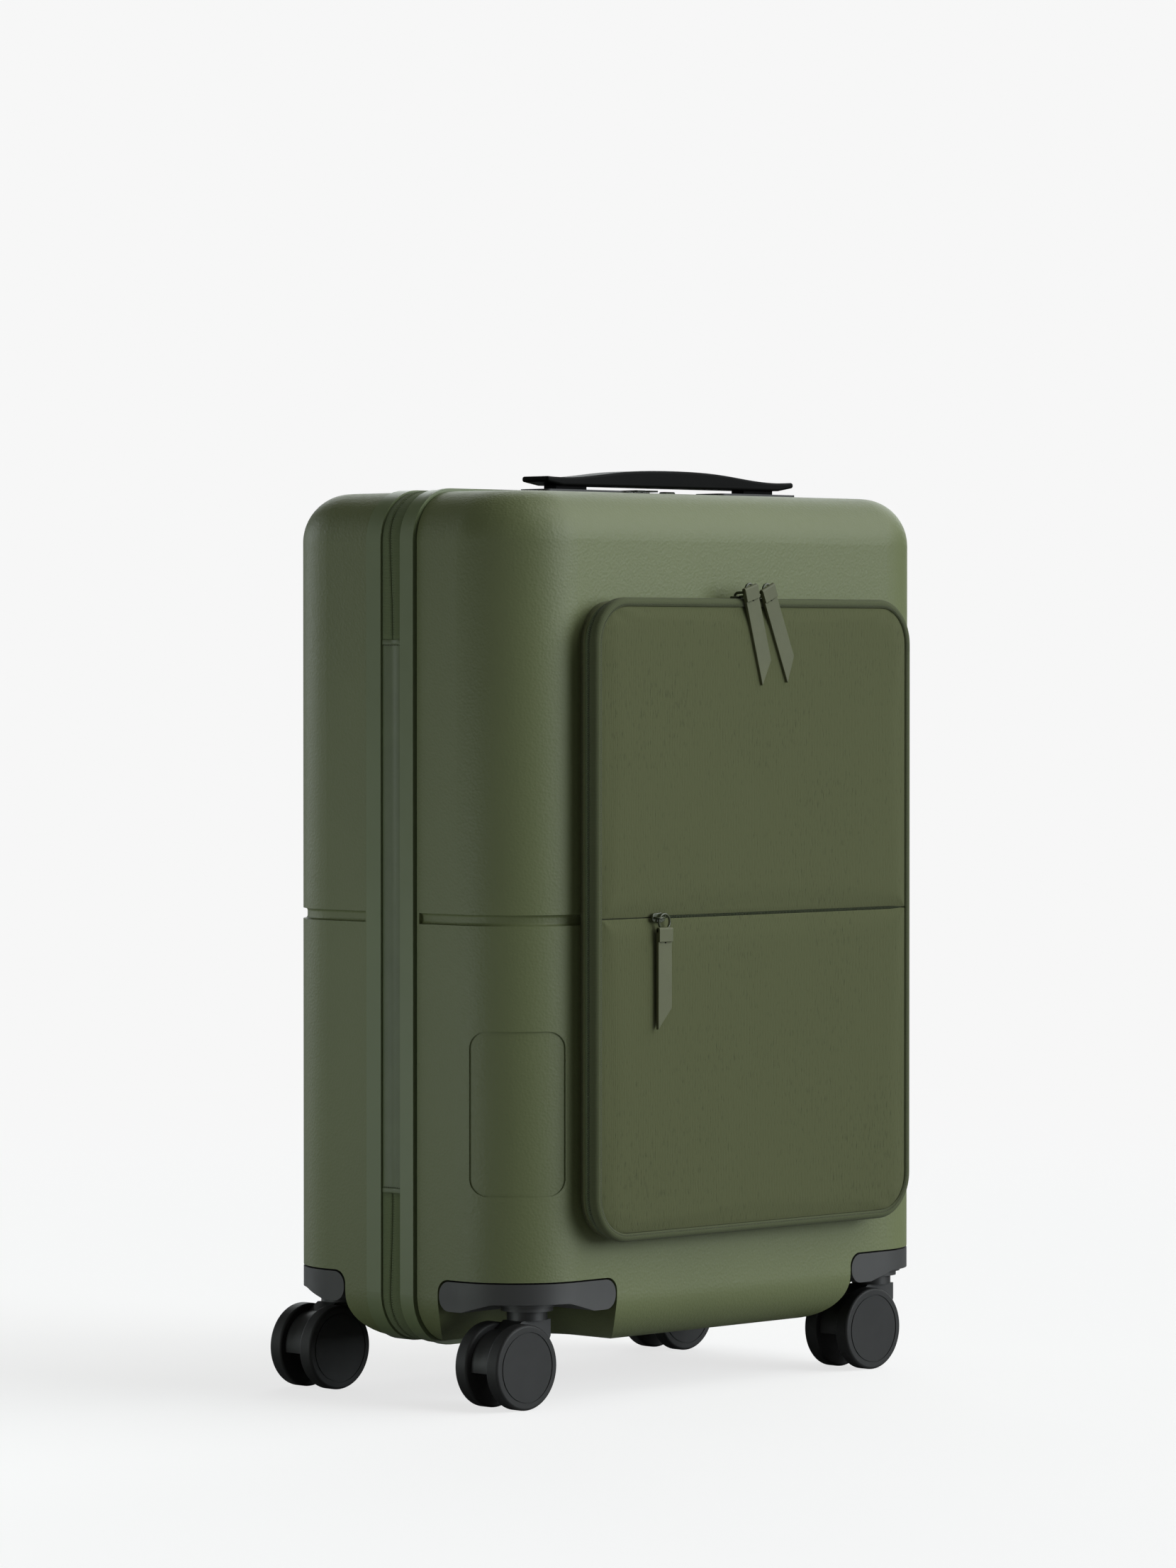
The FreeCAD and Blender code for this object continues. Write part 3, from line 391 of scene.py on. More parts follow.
looks = {
    "shell": shellLook(),
    "rail": railLook(),
    "tape": wovenLook("tapeWeave", paint["tape"], 0.0009, 0.0007, 0.00012),
    "gusset": wovenLook("gussetWeave", tint(paint["sleeve"], 1.6), 0.0009, 0.0008, 0.00012),
    "twill": twillLook(),
    "piping": wovenLook("pipingWeave", paint["piping"], 0.0008, 0.0008, 0.00010),
    "hinge": leatherLook("hingeHide", tint(paint["rail"], 0.72), 0.5),
    "pull": leatherLook("pullRubber", paint["pull"], 0.55),
    "lining": wovenLook("liningWeave", paint["lining"], 0.0007, 0.0007, 0.00008),
    "webbing": wovenLook("strapWebbing", tint(paint["lining"], 0.8), 0.0016, 0.0010, 0.00025),
    "black": blackLook("blackNylon", paint["black"], 0.45),
    "handle": blackLook("handleSoftTouch", tint(paint["black"], 0.3), 0.46, 0.00002, 0.04),
    "housing": blackLook("housingNylon", tint(paint["black"], 2.3), 0.5),
    "gloss": blackLook("lockGloss", tint(paint["black"], 0.8), 0.25, 0.00001),
    "wheel": blackLook("wheelRubber", paint["wheel"], 0.55, 0.00003, 0.32),
    "tube": metalLook("tubeAnodised", (0.55, 0.56, 0.57), 0.32),
    "steel": metalLook("screwZinc", (0.55, 0.55, 0.54), 0.3, (300, 300, 300)),
    "zipMetal": blackLook("zipEnamel", (0.110, 0.125, 0.080), 0.38, 0.00001),
    "darkMetal": blackLook("sliderEnamel", (0.045, 0.052, 0.026), 0.26, 0.00001),
    "thread": threadLook("seamThread", tint(paint["sleeve"], 0.55)),
    "lightThread": threadLook("panelThread", tint(paint["piping"], 1.1)),
    "coil": threadLook("zipCoil", tint(paint["tape"], 0.7)),
    "dark": blackLook("seamShadow", (0.012, 0.013, 0.008), 0.9),
}
print("materials ready")


# ---- carried-over parts get their finish ----

carriedLooks = {
    "shell": ["back_shell", "front_shell"],
    "rail": ["back_rail", "front_rail"],
    "handle": ["carry_handle"],
    "black": ["handle_mounts", "trolley_tray", "trolley_grip", "trolley_button", "trolley_feet"],
    "gloss": ["lock_body", "lock_dial_1", "lock_dial_2", "lock_dial_3"],
    "zipMetal": ["lock_button", "main_zip_slider_1", "main_zip_slider_2"],
    "tube": ["trolley_outer_tubes", "trolley_middle_tubes", "trolley_inner_tubes"],
    "steel": ["caster_screws_front", "caster_screws_back"],
}
for corner in ("fl", "fr", "bl", "br"):
    carriedLooks.setdefault("housing", []).append(f"caster_{corner}_housing")
    carriedLooks["black"] += [f"caster_{corner}_fork"]
    carriedLooks["steel"] += [f"caster_{corner}_axle"]
    carriedLooks.setdefault("wheel", []).extend([f"caster_{corner}_wheel_front", f"caster_{corner}_wheel_back"])
for lookName, nodeNames in carriedLooks.items():
    for nodeName in nodeNames:
        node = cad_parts[nodeName]
        if not node.material_slots:
            node.data.materials.append(looks[lookName])
        for place in node.material_slots:
            place.material = looks[lookName]
print("carried parts painted")


# ---- main zip: two woven tapes round the case ----

mainZip = {
    "thickness": 1.5 * mm,
    "edgeDip": 0.7 * mm,
    "edgeRound": 1.0 * mm,
    "halfGap": 0.22 * mm,
    "drift": 2.9 * mm,          # the line starts nearer the front at the hinge ends
    "driftLength": 75 * mm,
    "stitchPitch": 1.45 * mm,
    "stitchHalf": 0.55 * mm,
    "stitchRadius": 0.24 * mm,
    "radius": 29.3 * mm,
}


def openRound(path, total, zLow, zHigh):
    # drops the stretch of the left side that the hinge panel fills
    left = min(spot[0] for spot in path)
    keep = [s for s in path if not (abs(s[0] - left) < 1e-6 and zLow - 1e-6 < s[1] < zHigh + 1e-6)]
    first = min((k for k, s in enumerate(keep) if abs(s[0] - left) < 1e-6 and s[1] < zLow),
                key=lambda k: zLow - keep[k][1])
    keep = keep[first:] + keep[:first]
    keep = [(left, zLow, -1.0, 0.0, 0)] + keep + [(left, zHigh, -1.0, 0.0, 0)]
    made, run = [], 0.0
    for k, spot in enumerate(keep):
        if k:
            run += math.hypot(spot[0] - keep[k - 1][0], spot[1] - keep[k - 1][1])
        made.append((spot[0], spot[1], spot[2], spot[3], run))
    return made, run


tapeOutline, tapeTotal = outlineOf(caseMidX, (tapeFrontHigh.x - tapeFrontLow.x) / 2, tapeFrontLow.z, tapeFrontHigh.z,
                                   mainZip["radius"], step=0.005, arcSteps=16)
zipPath, zipTotal = openRound(tapeOutline, tapeTotal, panelLow.z, panelHigh.z)


def zipAt(run):
    away = min(run, zipTotal - run) / mainZip["driftLength"]
    return zipLineY - mainZip["drift"] * math.exp(-away * away * 2.0)


def mainTape(name, body, node, railY, side):
    # side is -1 for the front tape and 1 for the back one
    z = mainZip

    def section(run, spot):
        edge = zipAt(run) + side * z["halfGap"]
        dip, soft, thick = -z["edgeDip"], side * z["edgeRound"], -z["thickness"]
        return [(dip, railY), (dip * 0.9, railY - soft * 0.3), (dip * 0.25, railY - soft * 0.7), (0.0, railY - soft),
                (0.0, edge + soft * 1.5), (0.00004, edge + soft * 0.8), (-0.0001, edge + soft * 0.35),
                (-0.0005, edge), (thick, edge), (thick, railY)]

    piece = sweep(name, zipPath, section, closed=False)
    return finishOff(piece, body, "zip_fabric", "tape", node)


mainTape("mainTapeFront", "case_front", "zip_tape_front", tapeFrontLow.y, -1)
mainTape("mainTapeBack", "case_back", "zip_tape_back", tapeBackHigh.y, 1)


def tapeStitches(name, body, offset, radius, half):
    spots = []
    margin = 2 * mm
    for x, z, nx, nz, run in along(zipPath, zipTotal, mainZip["stitchPitch"], False, margin, zipTotal - margin):
        up = Vector((nx, 0, nz))
        centre = Vector((x, zipAt(run) + offset, z)) + up * 0.00004
        spots.append((centre, Vector((0, half, 0)), up))
    return finishOff(threadRow(name, spots, radius, sides=5), body, "zip_fabric", "tape")


tapeStitches("mainTapeStitchesFront", "case_front", -1.25 * mm, mainZip["stitchRadius"], mainZip["stitchHalf"])
tapeStitches("mainTapeStitchesBack", "case_back", 1.15 * mm, mainZip["stitchRadius"] * 0.75,
             mainZip["stitchHalf"] * 0.8)
print("main zip laid")


# ---- hinge panel: one soft strip from the front rail to the back rail ----

hingePanel = {
    "valley": 0.7 * mm,
    "thickness": 1.4 * mm,
    "edgeDip": 0.5 * mm,
    "rows": 110,
    "columns": 22,
    "bandHeight": 3.2 * mm,
    "bandRise": 0.35 * mm,
    "threadPitch": 1.9 * mm,
}


def hingeStrip(name, zLow, zHigh, rise, rows):
    h = hingePanel
    yLow, yHigh = tapeFrontLow.y + 0.1 * mm, tapeBackHigh.y - 0.1 * mm
    verts, uvs = [], []
    for side in (0, 1):
        for r in range(rows + 1):
            z = zLow + (zHigh - zLow) * r / rows
            fromEnd = min(z - zLow, zHigh - z)
            for c in range(h["columns"] + 1):
                t = c / h["columns"]
                y = yLow + (yHigh - yLow) * t
                fromSide = min(t, 1 - t) * (yHigh - yLow)
                dip = h["valley"] * math.exp(-((t - 0.5) * (yHigh - yLow) / 0.0032) ** 2)
                dip += h["edgeDip"] * math.exp(-fromSide / 0.0006)
                dip += 0.25 * mm * math.exp(-fromEnd / 0.0004)
                x = panelLow.x - rise + dip if side == 0 else panelLow.x + h["thickness"] - rise
                verts.append((x, y, z))
                uvs.append((y, z))
    return addMesh(name, verts, padFaces(rows + 1, h["columns"] + 1)[0], uvs=uvs)


def foldWithCase(piece, lookName):
    piece.data.materials.append(looks[lookName])
    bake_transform(piece)
    return piece


hingeSkin = hingeStrip("hingeSkin", panelLow.z + 0.3 * mm, panelHigh.z - 0.3 * mm, 0.0, hingePanel["rows"])
foldWithCase(hingeSkin, "hinge")
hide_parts("hinge_panel")
for label, end, inward in (("Top", panelHigh.z, -1), ("Bottom", panelLow.z, 1)):
    low, high = sorted((end, end + inward * hingePanel["bandHeight"]))
    foldWithCase(hingeStrip("hingeBand" + label, low, high, hingePanel["bandRise"], 6), "hinge")
    threads, y = [], tapeFrontLow.y + 1.2 * mm
    while y < tapeBackHigh.y - 1.0 * mm:
        threadZ = end + inward * (hingePanel["bandHeight"] + 0.25 * mm)
        centre = Vector((panelLow.x - hingePanel["bandRise"] * 0.4, y, threadZ))
        threads.append((centre, Vector((0, 0.62 * mm, 0)), Vector((-1, 0, 0))))
        y += hingePanel["threadPitch"]
    foldWithCase(threadRow("hingeThread" + label, threads, 0.22 * mm), "thread")


# ---- soft panels ----

def halfAt(z, half, zLow, zHigh, rLow, rHigh):
    if z > zHigh - rHigh:
        d = min(rHigh, z - (zHigh - rHigh))
        return half - rHigh + math.sqrt(max(0.0, rHigh * rHigh - d * d))
    if z < zLow + rLow:
        d = min(rLow, (zLow + rLow) - z)
        return half - rLow + math.sqrt(max(0.0, rLow * rLow - d * d))
    return half


def depthIn(x, z, half, zLow, zHigh, rLow, rHigh):
    # how far a point is inside the rounded outline
    mid = (zLow + zHigh) / 2
    r = rHigh if z > mid else rLow
    qx = abs(x) - (half - r)
    qz = abs(z - mid) - ((zHigh - zLow) / 2 - r)
    return r - math.hypot(max(qx, 0.0), max(qz, 0.0)) - min(max(qx, qz), 0.0)


def softPanel(name, midX, half, zLow, zHigh, rLow, rHigh, frontY, backY, frontShape, step=0.005):
    # a closed pad: a shaped front sheet, a flat back sheet and the edge between them. frontY is towards -y
    edges = [e * mm for e in (0.0, 0.4, 0.9, 1.6, 2.6, 4.0, 6.0, 9.0, 13.0)]

    def spread(low, high):
        room = high - low
        inner = [e for e in edges if e < room / 2 - step / 2]
        count = max(1, int(round((room - 2 * inner[-1]) / step)))
        middle = [low + inner[-1] + (room - 2 * inner[-1]) * k / count for k in range(count + 1)]
        return [low + e for e in inner[:-1]] + middle + [high - e for e in reversed(inner[:-1])]

    zs = spread(zLow, zHigh)
    for r, at, sign in ((rHigh, zHigh, 1), (rLow, zLow, -1)):
        if r > 3 * mm:
            zs += [at - sign * r + sign * r * math.sin(math.radians(a)) for a in range(10, 90, 10)]
    zs = sorted(zs)
    kept = [zs[0]]
    for z in zs[1:]:
        if z - kept[-1] > 0.25 * mm:
            kept.append(z)
    kept[-1] = zHigh
    xs = spread(-half, half)
    verts, uvs = [], []
    for sheet in (0, 1):
        for z in kept:
            wide = halfAt(z, half, zLow, zHigh, rLow, rHigh)
            for x in xs:
                px = x / half * wide
                inside = max(0.0, depthIn(px, z, half, zLow, zHigh, rLow, rHigh))
                y = frontShape(px, z, inside, frontY) if sheet == 0 else backY
                verts.append((midX + px, y, z))
                uvs.append((px, z))
    layer = len(xs) * len(kept)
    faces, ring = padFaces(len(kept), len(xs))
    piece = addMesh(name, verts, faces, uvs=uvs)
    group = piece.vertex_groups.new(name="held")
    group.add(list(range(layer, 2 * layer)) + ring, 1.0, "REPLACE")
    return piece


def puff(piece, pressure, cap, frames=16):
    # a short cloth run swells the front sheet, and no point moves more than the cap
    rest = [v.co.copy() for v in piece.data.vertices]
    cloth = piece.modifiers.new("cloth", "CLOTH")
    cloth.settings.quality = 4
    cloth.settings.mass = 0.25
    cloth.settings.tension_stiffness = 18
    cloth.settings.compression_stiffness = 12
    cloth.settings.bending_stiffness = 1.2
    cloth.settings.use_pressure = True
    cloth.settings.uniform_pressure_force = pressure
    cloth.settings.vertex_group_mass = "held"
    cloth.settings.effector_weights.gravity = 0
    cloth.collision_settings.use_collision = False
    cloth.point_cache.frame_start = 1
    cloth.point_cache.frame_end = frames
    for number in range(1, frames + 1):
        bpy.context.scene.frame_set(number)
    swollen = piece.evaluated_get(bpy.context.evaluated_depsgraph_get()).to_mesh()
    moved = [v.co.copy() for v in swollen.vertices]
    piece.evaluated_get(bpy.context.evaluated_depsgraph_get()).to_mesh_clear()
    piece.modifiers.remove(cloth)
    bpy.context.scene.frame_set(1)
    for vertex, a, b in zip(piece.data.vertices, rest, moved):
        shift = b - a
        if shift.length > cap:
            shift *= cap / shift.length
        vertex.co = a + shift
    piece.data.update()
    return piece


# ---- front sleeve ----

sleeve = {
    "radius": 27.0 * mm,
    "seamInset": 5.0 * mm,
    "rimRound": 2.7 * mm,
    "panelSink": 1.0 * mm,
    "panelCrown": 0.5 * mm,
    "panelThickness": 2.35 * mm,
    "liningDepth": 2.75 * mm,
    "pocketSeam": 285.0 * mm,
    "seamGap": 0.5 * mm,
    "slotGap": 1.7 * mm,
    "footSide": 4.4 * mm,          # how far the foot stands in from the rim, at the sides and at the ends
    "footEnd": 2.0 * mm,
    "lipInset": 1.8 * mm,
    "wallThickness": 2.5 * mm,
    "bandOuter": 2.1 * mm,
    "bandInner": 3.0 * mm,
    "toothPitch": 1.3 * mm,
    "toothSink": 1.85,             # in millimetres
    "toothHalf": 0.85 * mm,
    "toothRadius": 0.42 * mm,
    "toothSplit": 0.45 * mm,       # how far each row of teeth stands from the middle of the zip
    "slotMargin": 8.0 * mm,        # where the open pocket zip ends, in from the sleeve's right edge
    "slotTape": 4.0 * mm,
    "liningInset": 6.0 * mm,
    "seamThread": 0.19 * mm,
    "seamLean": 0.62 * mm,
    "stitchPitch": 1.12 * mm,
}
sleevePath, sleeveTotal = outlineOf(sleeveMidX, sleeveHalf, rimLow.z, rimHigh.z, sleeve["radius"],
                                    step=0.004, arcSteps=16)
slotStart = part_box("sleeve_slider_3")[1].x    # the pocket's zip is open to the right of its slider


def footInset(spot):
    return sleeve["footEnd"] + (sleeve["footSide"] - sleeve["footEnd"]) * spot[2] * spot[2]


def wallSection(run, spot):
    base, rim, lip, foot = faceY, bandHigh.y, sleeve["lipInset"], footInset(spot)
    inner = foot + sleeve["wallThickness"]
    return [(-foot - 0.5 * mm, base - 0.05 * mm), (-foot - 0.1 * mm, base - 0.9 * mm), (-foot, base - 2.0 * mm),
            (-foot * 0.55 - lip * 0.45, base - 3.6 * mm), (-lip - 0.1 * mm, rim + 1.5 * mm), (-lip, rim + 0.7 * mm),
            (-lip - 0.2 * mm, rim + 0.15 * mm), (-lip - 0.7 * mm, rim), (-inner + 0.3 * mm, rim),
            (-inner, rim + 0.5 * mm), (-inner, base - 0.05 * mm)]


finishOff(sweep("sleeveWall", sleevePath, wallSection), "case_front", "sleeve_fabric", "gusset", "sleeve_back")


def flatShape(x, z, inside, frontY):
    return frontY + 0.3 * mm * math.exp(-inside / (0.8 * mm))


backSide = sleeve["footSide"] + sleeve["wallThickness"] + 0.1 * mm
backEnd = sleeve["footEnd"] + sleeve["wallThickness"] + 0.1 * mm
backPad = softPanel("sleeveBackPanel", sleeveMidX, sleeveHalf - backSide, rimLow.z + backEnd, rimHigh.z - backEnd,
                    sleeve["radius"] - backEnd, sleeve["radius"] - backEnd, faceY - 2.0 * mm, faceY - 0.1 * mm,
                    flatShape, 0.012)
finishOff(backPad, "case_front", "sleeve_fabric", "lining")


def bandSection(yFrom, yTo):
    def section(run, spot):
        outer, inner = -sleeve["bandOuter"], -sleeve["bandInner"]
        return [(outer, yFrom), (outer, yTo), (inner, yTo), (inner, yFrom)]
    return section


bandMid = (bandHigh.y + rimHigh.y) / 2
finishOff(sweep("sleeveTapeWallSide", sleevePath, bandSection(bandHigh.y + 0.3 * mm, bandMid + 0.1 * mm)), "case_front",
          "zip_fabric", "tape", "sleeve_zip_tape")
finishOff(sweep("sleeveTapeFlapSide", sleevePath, bandSection(bandMid - 0.1 * mm, rimHigh.y - 0.2 * mm)), "sleeve_flap",
          "zip_fabric", "tape")


def teeth(name, body, y, phase):
    spots = []
    for x, z, nx, nz, run in along(sleevePath, sleeveTotal, sleeve["toothPitch"], start=phase * sleeve["toothPitch"]):
        if nz < -0.9:
            continue
        up = Vector((nx, 0, nz))
        spots.append((Vector((x, y, z)) - up * sleeve["toothSink"] * mm, Vector((0, sleeve["toothHalf"], 0)), up))
    finishOff(threadRow(name, spots, sleeve["toothRadius"], sides=5), body, "zip_fabric", "coil")


teeth("sleeveTeethWallSide", "case_front", bandMid + sleeve["toothSplit"], 0.0)
teeth("sleeveTeethFlapSide", "sleeve_flap", bandMid - sleeve["toothSplit"], 0.5)


def rimSection(run, spot):
    back, front, r = rimHigh.y, rimLow.y, sleeve["rimRound"]
    section = [(-1.6 * mm, back + 0.2 * mm), (-0.7 * mm, back + 0.1 * mm), (-0.15 * mm, back - 0.5 * mm)]
    for angle in range(0, 91, 15):
        a = math.radians(angle)
        section.append((-r + (r + 0.1 * mm) * math.cos(a), front + r - (r + 0.1 * mm) * math.sin(a)))
    inset = sleeve["seamInset"]
    section += [(-inset + 0.45 * mm, front + 0.05 * mm), (-inset, front + 0.7 * mm), (-inset, front + 2.4 * mm),
                (-inset, back - 0.1 * mm), (-3.0 * mm, back + 0.2 * mm)]
    return section


finishOff(sweep("flapRim", sleevePath, rimSection), "sleeve_flap", "sleeve_fabric", "piping", "flap_rim")


def seamStitches():
    spots, lean = [], sleeve["seamLean"]
    for x, z, nx, nz, run in along(sleevePath, sleeveTotal, sleeve["stitchPitch"]):
        out = Vector((nx, 0, nz))
        travel = Vector((-nz, 0, nx))
        centre = Vector((x, rimLow.y - 0.02 * mm, z)) - out * (sleeve["seamInset"] - 1.15 * mm)
        half = out * lean * 0.75 - travel * lean * 0.65
        spots.append((centre, half, Vector((0, -1, 0))))
    row = threadRow("flapSeamStitches", spots, sleeve["seamThread"], sides=5, flat=0.7)
    finishOff(row, "sleeve_flap", "sleeve_fabric", "thread")


seamStitches()


def panelShape(x, z, inside, frontY):
    sink = sleeve["panelSink"] * math.exp(-inside / (1.1 * mm))
    return frontY + sink - sleeve["panelCrown"] * (1 - math.exp(-inside / (22 * mm)))


def openSlot(piece, towards):
    # the two panels part a little more where the pocket's zip is open
    edge = sleeve["pocketSeam"]
    for vertex in piece.data.vertices:
        away = abs(vertex.co.z - edge)
        if away < 12 * mm:
            side = min(1.0, max(0.0, (vertex.co.x - slotStart) / (6 * mm)))
            rightEnd = min(1.0, max(0.0, (sleeveMidX + sleeveHalf - sleeve["slotMargin"] - vertex.co.x) / (10 * mm)))
            open_ = (sleeve["slotGap"] - sleeve["seamGap"]) / 2 * side * rightEnd
            vertex.co.z += towards * open_ * (1 - away / (12 * mm))


inset = sleeve["seamInset"] + 0.1 * mm
innerRound = sleeve["radius"] - inset
frontY = rimLow.y
upperPad = softPanel("flapUpperPanel", sleeveMidX, sleeveHalf - inset, sleeve["pocketSeam"] + sleeve["seamGap"] / 2,
                     rimHigh.z - inset, 0.8 * mm, innerRound, frontY, frontY + sleeve["panelThickness"], panelShape)
lowerPad = softPanel("flapPocketPanel", sleeveMidX, sleeveHalf - inset, rimLow.z + inset,
                     sleeve["pocketSeam"] - sleeve["seamGap"] / 2, innerRound, 0.8 * mm, frontY,
                     frontY + sleeve["panelThickness"], panelShape)
for pad, towards, node in ((upperPad, 1, "flap_upper_panel"), (lowerPad, -1, "flap_pocket_panel")):
    puff(pad, 3.0, 0.45 * mm)
    openSlot(pad, towards)
    finishOff(pad, "sleeve_flap", "sleeve_fabric", "twill", node)

hem = sleeve["liningInset"]
liningPad = softPanel("flapLiningPad", sleeveMidX, sleeveHalf - hem, rimLow.z + hem, rimHigh.z - hem,
                      sleeve["radius"] - hem, sleeve["radius"] - hem, frontY + sleeve["liningDepth"],
                      frontY + 5.3 * mm, flatShape, 0.012)
finishOff(liningPad, "sleeve_flap", "sleeve_fabric", "lining", "flap_lining")


def pocketZip():
    # the tape and teeth that lie in the slot between the two panels
    tape = sleeve["slotTape"]
    left, right = slotStart - tape, sleeveMidX + sleeveHalf - sleeve["slotMargin"]
    z, y = sleeve["pocketSeam"], frontY + 1.6 * mm
    corners = ((0, -tape), (0, tape), (0.7 * mm, tape), (0.7 * mm, -tape))
    verts = [(x, y + dy, z + dz) for x in (left, right) for dy, dz in corners]
    faces = [(0, 1, 2, 3), (7, 6, 5, 4)] + [(k, k + 4, (k + 1) % 4 + 4, (k + 1) % 4) for k in range(4)]
    piece = addMesh("pocketZipTape", verts, faces, smooth=False, uvs=[(v[0], v[2]) for v in verts])
    # the slot's tape is painted in the near-black seam shadow colour, as painted shade in the slot
    finishOff(piece, "sleeve_flap", "sleeve_fabric", "dark")
    spots, x = [], left + 1 * mm
    while x < right - 1 * mm:
        spots.append((Vector((x, y - 0.35 * mm, z)), Vector((0, 0, 0.9 * mm)), Vector((0, -1, 0))))
        x += sleeve["toothPitch"]
    finishOff(threadRow("pocketZipTeeth", spots, 0.34 * mm, sides=5), "sleeve_flap", "sleeve_fabric", "coil")


pocketZip()


def flapHinge():
    # the cloth strip under the flap
    s = sleeve
    reach = sleeveHalf - s["radius"]
    yBack, yFront = bandHigh.y + 0.5 * mm, rimHigh.y - 0.3 * mm
    columns, rows = 60, 8
    verts, uvs = [], []
    for side in (0, 1):
        for r in range(rows + 1):
            y = yBack + (yFront - yBack) * r / rows
            sag = 0.25 * mm * math.sin(math.pi * r / rows)
            for c in range(columns + 1):
                x = sleeveMidX - reach + 2 * reach * c / columns
                verts.append((x, y, rimLow.z + 1.1 * mm + sag + side * 0.8 * mm))
                uvs.append((x, y))
    strip = addMesh("flapHingeStrip", verts, padFaces(rows + 1, columns + 1)[0], uvs=uvs)
    strip.data.materials.append(looks["piping"])
    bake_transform(strip)


flapHinge()
print("sleeve sewn")


# ---- sliders and pulls ----

def ringMesh(name, centre, radius, wire, around=40, across=10):
    verts, faces = [], []
    for k in range(around):
        a = 2 * math.pi * k / around
        for j in range(across):
            b = 2 * math.pi * j / across
            out = radius + wire * math.cos(b)
            side = wire * math.sin(b)
            point = (out * math.cos(a), side, out * math.sin(a))
            verts.append(tuple(Vector(point) + centre))
            faces.append((k * across + j, k * across + (j + 1) % across,
                          ((k + 1) % around) * across + (j + 1) % across, ((k + 1) % around) * across + j))
    return addMesh(name, verts, faces)


def prism(name, outline, depth, axis, bevel, segments=2):
    # outline points are given in the plane across the axis; the edges are then rounded a little
    verts, faces, count = [], [], len(outline)
    for side in (0, 1):
        for a, b in outline:
            d = depth[side]
            verts.append({"x": (d, a, b), "y": (a, d, b), "z": (a, b, d)}[axis])
    faces.append(tuple(range(count)))
    faces.append(tuple(reversed(range(count, 2 * count))))
    for k in range(count):
        faces.append((k, count + k, count + (k + 1) % count, (k + 1) % count))
    piece = addMesh(name, verts, faces, smooth=False)
    rounding = piece.modifiers.new("rounding", "BEVEL")
    rounding.width = bevel
    rounding.segments = segments
    rounding.limit_method = "ANGLE"
    rounding.angle_limit = math.radians(28)
    applyAll(piece)
    return piece


def applyAll(piece):
    graph = bpy.context.evaluated_depsgraph_get()
    made = bpy.data.meshes.new_from_object(piece.evaluated_get(graph))
    piece.modifiers.clear()
    piece.data = made
    return piece


def tubeAlong(name, points, wire, sides=8):
    verts, faces = [], []
    for k, p in enumerate(points):
        ahead = points[min(k + 1, len(points) - 1)] - points[max(k - 1, 0)]
        ahead.normalize()
        sideways = ahead.orthogonal() if abs(ahead.x) > 0.9 else Vector((1, 0, 0)).cross(ahead)
        sideways.normalize()
        lift = ahead.cross(sideways)
        for j in range(sides):
            a = 2 * math.pi * j / sides
            verts.append(tuple(p + (sideways * math.cos(a) + lift * math.sin(a)) * wire))
    for k in range(len(points) - 1):
        for j in range(sides):
            a, b = k * sides + j, k * sides + (j + 1) % sides
            faces.append((a, b, b + sides, a + sides))
    faces.append(tuple(reversed(range(sides))))
    faces.append(tuple(range((len(points) - 1) * sides, len(points) * sides)))
    return addMesh(name, verts, faces)


pull = {
    "width": 11.5 * mm,
    "length": 60.0 * mm,
    "thickness": 1.9 * mm,
    "tip": 12.5 * mm,
    "fold": 8.6 * mm,
    "foldRise": 1.0 * mm,
    "ringRadius": 4.6 * mm,
    "topRingRadius": 3.6 * mm,
    "ringWire": 0.75 * mm,
    "tilts": (16.0, 23.0),
    "ringLift": 2.5 * mm,
    "topRingLift": 1.5 * mm,
    "strapRise": 4.0 * mm,
    "bridge": 1.0 * mm,
}


def tilted(piece, pivot, degrees):
    turn = Matrix.Translation(pivot) @ Matrix.Rotation(math.radians(-degrees), 4, "Y") @ Matrix.Translation(-pivot)
    piece.data.transform(turn)
    return piece


def strapPieces(label, x, top, backY, body, pivot, degrees, node):
    p = pull
    half, bottom = p["width"] / 2, top - p["length"]
    front = backY - p["thickness"]
    outline = [(x - half, top - 0.8 * mm), (x + half, top - 0.8 * mm), (x + half, bottom + p["tip"]),
               (x - half, bottom)]
    strap = prism(label + "Strap", outline, (backY, front), "y", 0.28 * mm)
    face = front - p["foldRise"]
    r = 1.25 * mm
    mid = (backY + face) / 2
    reach = (backY - face) / 2
    fold = [(front + 0.3 * mm, top - p["fold"]), (face, top - p["fold"]), (face, top - r)]
    fold += [(mid - reach * math.cos(math.radians(a)), top - r + r * math.sin(math.radians(a)))
             for a in range(20, 161, 20)]
    fold += [(backY, top - r), (backY, top - 3.2 * mm), (front + 0.3 * mm, top - 3.2 * mm)]
    loop = prism(label + "Fold", fold, (x - half, x + half), "x", 0.22 * mm)
    outward, lip = Vector((0, -1, 0)), top - p["fold"]
    lips = [(Vector((x + side * 2.9 * mm, front - 0.05 * mm, lip - 0.55 * mm)), Vector((1.7 * mm, 0, 0)), outward)
            for side in (-1, 1)]
    seam = threadRow(label + "Seam", lips, 0.24 * mm, flat=0.6)
    middle = Vector((x, front - 0.25 * mm, lip - 0.1 * mm))
    # the knot is painted in the near-black seam shadow colour, as painted shade
    knot = threadRow(label + "Knot", [(middle, Vector((0.1 * mm, 0, 0.75 * mm)), outward)], 0.55 * mm)
    for piece, look in ((strap, "pull"), (loop, "pull"), (seam, "pull"), (knot, "dark")):
        tilted(piece, pivot, degrees)
        finishOff(piece, body, "pull", look)
    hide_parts(node)


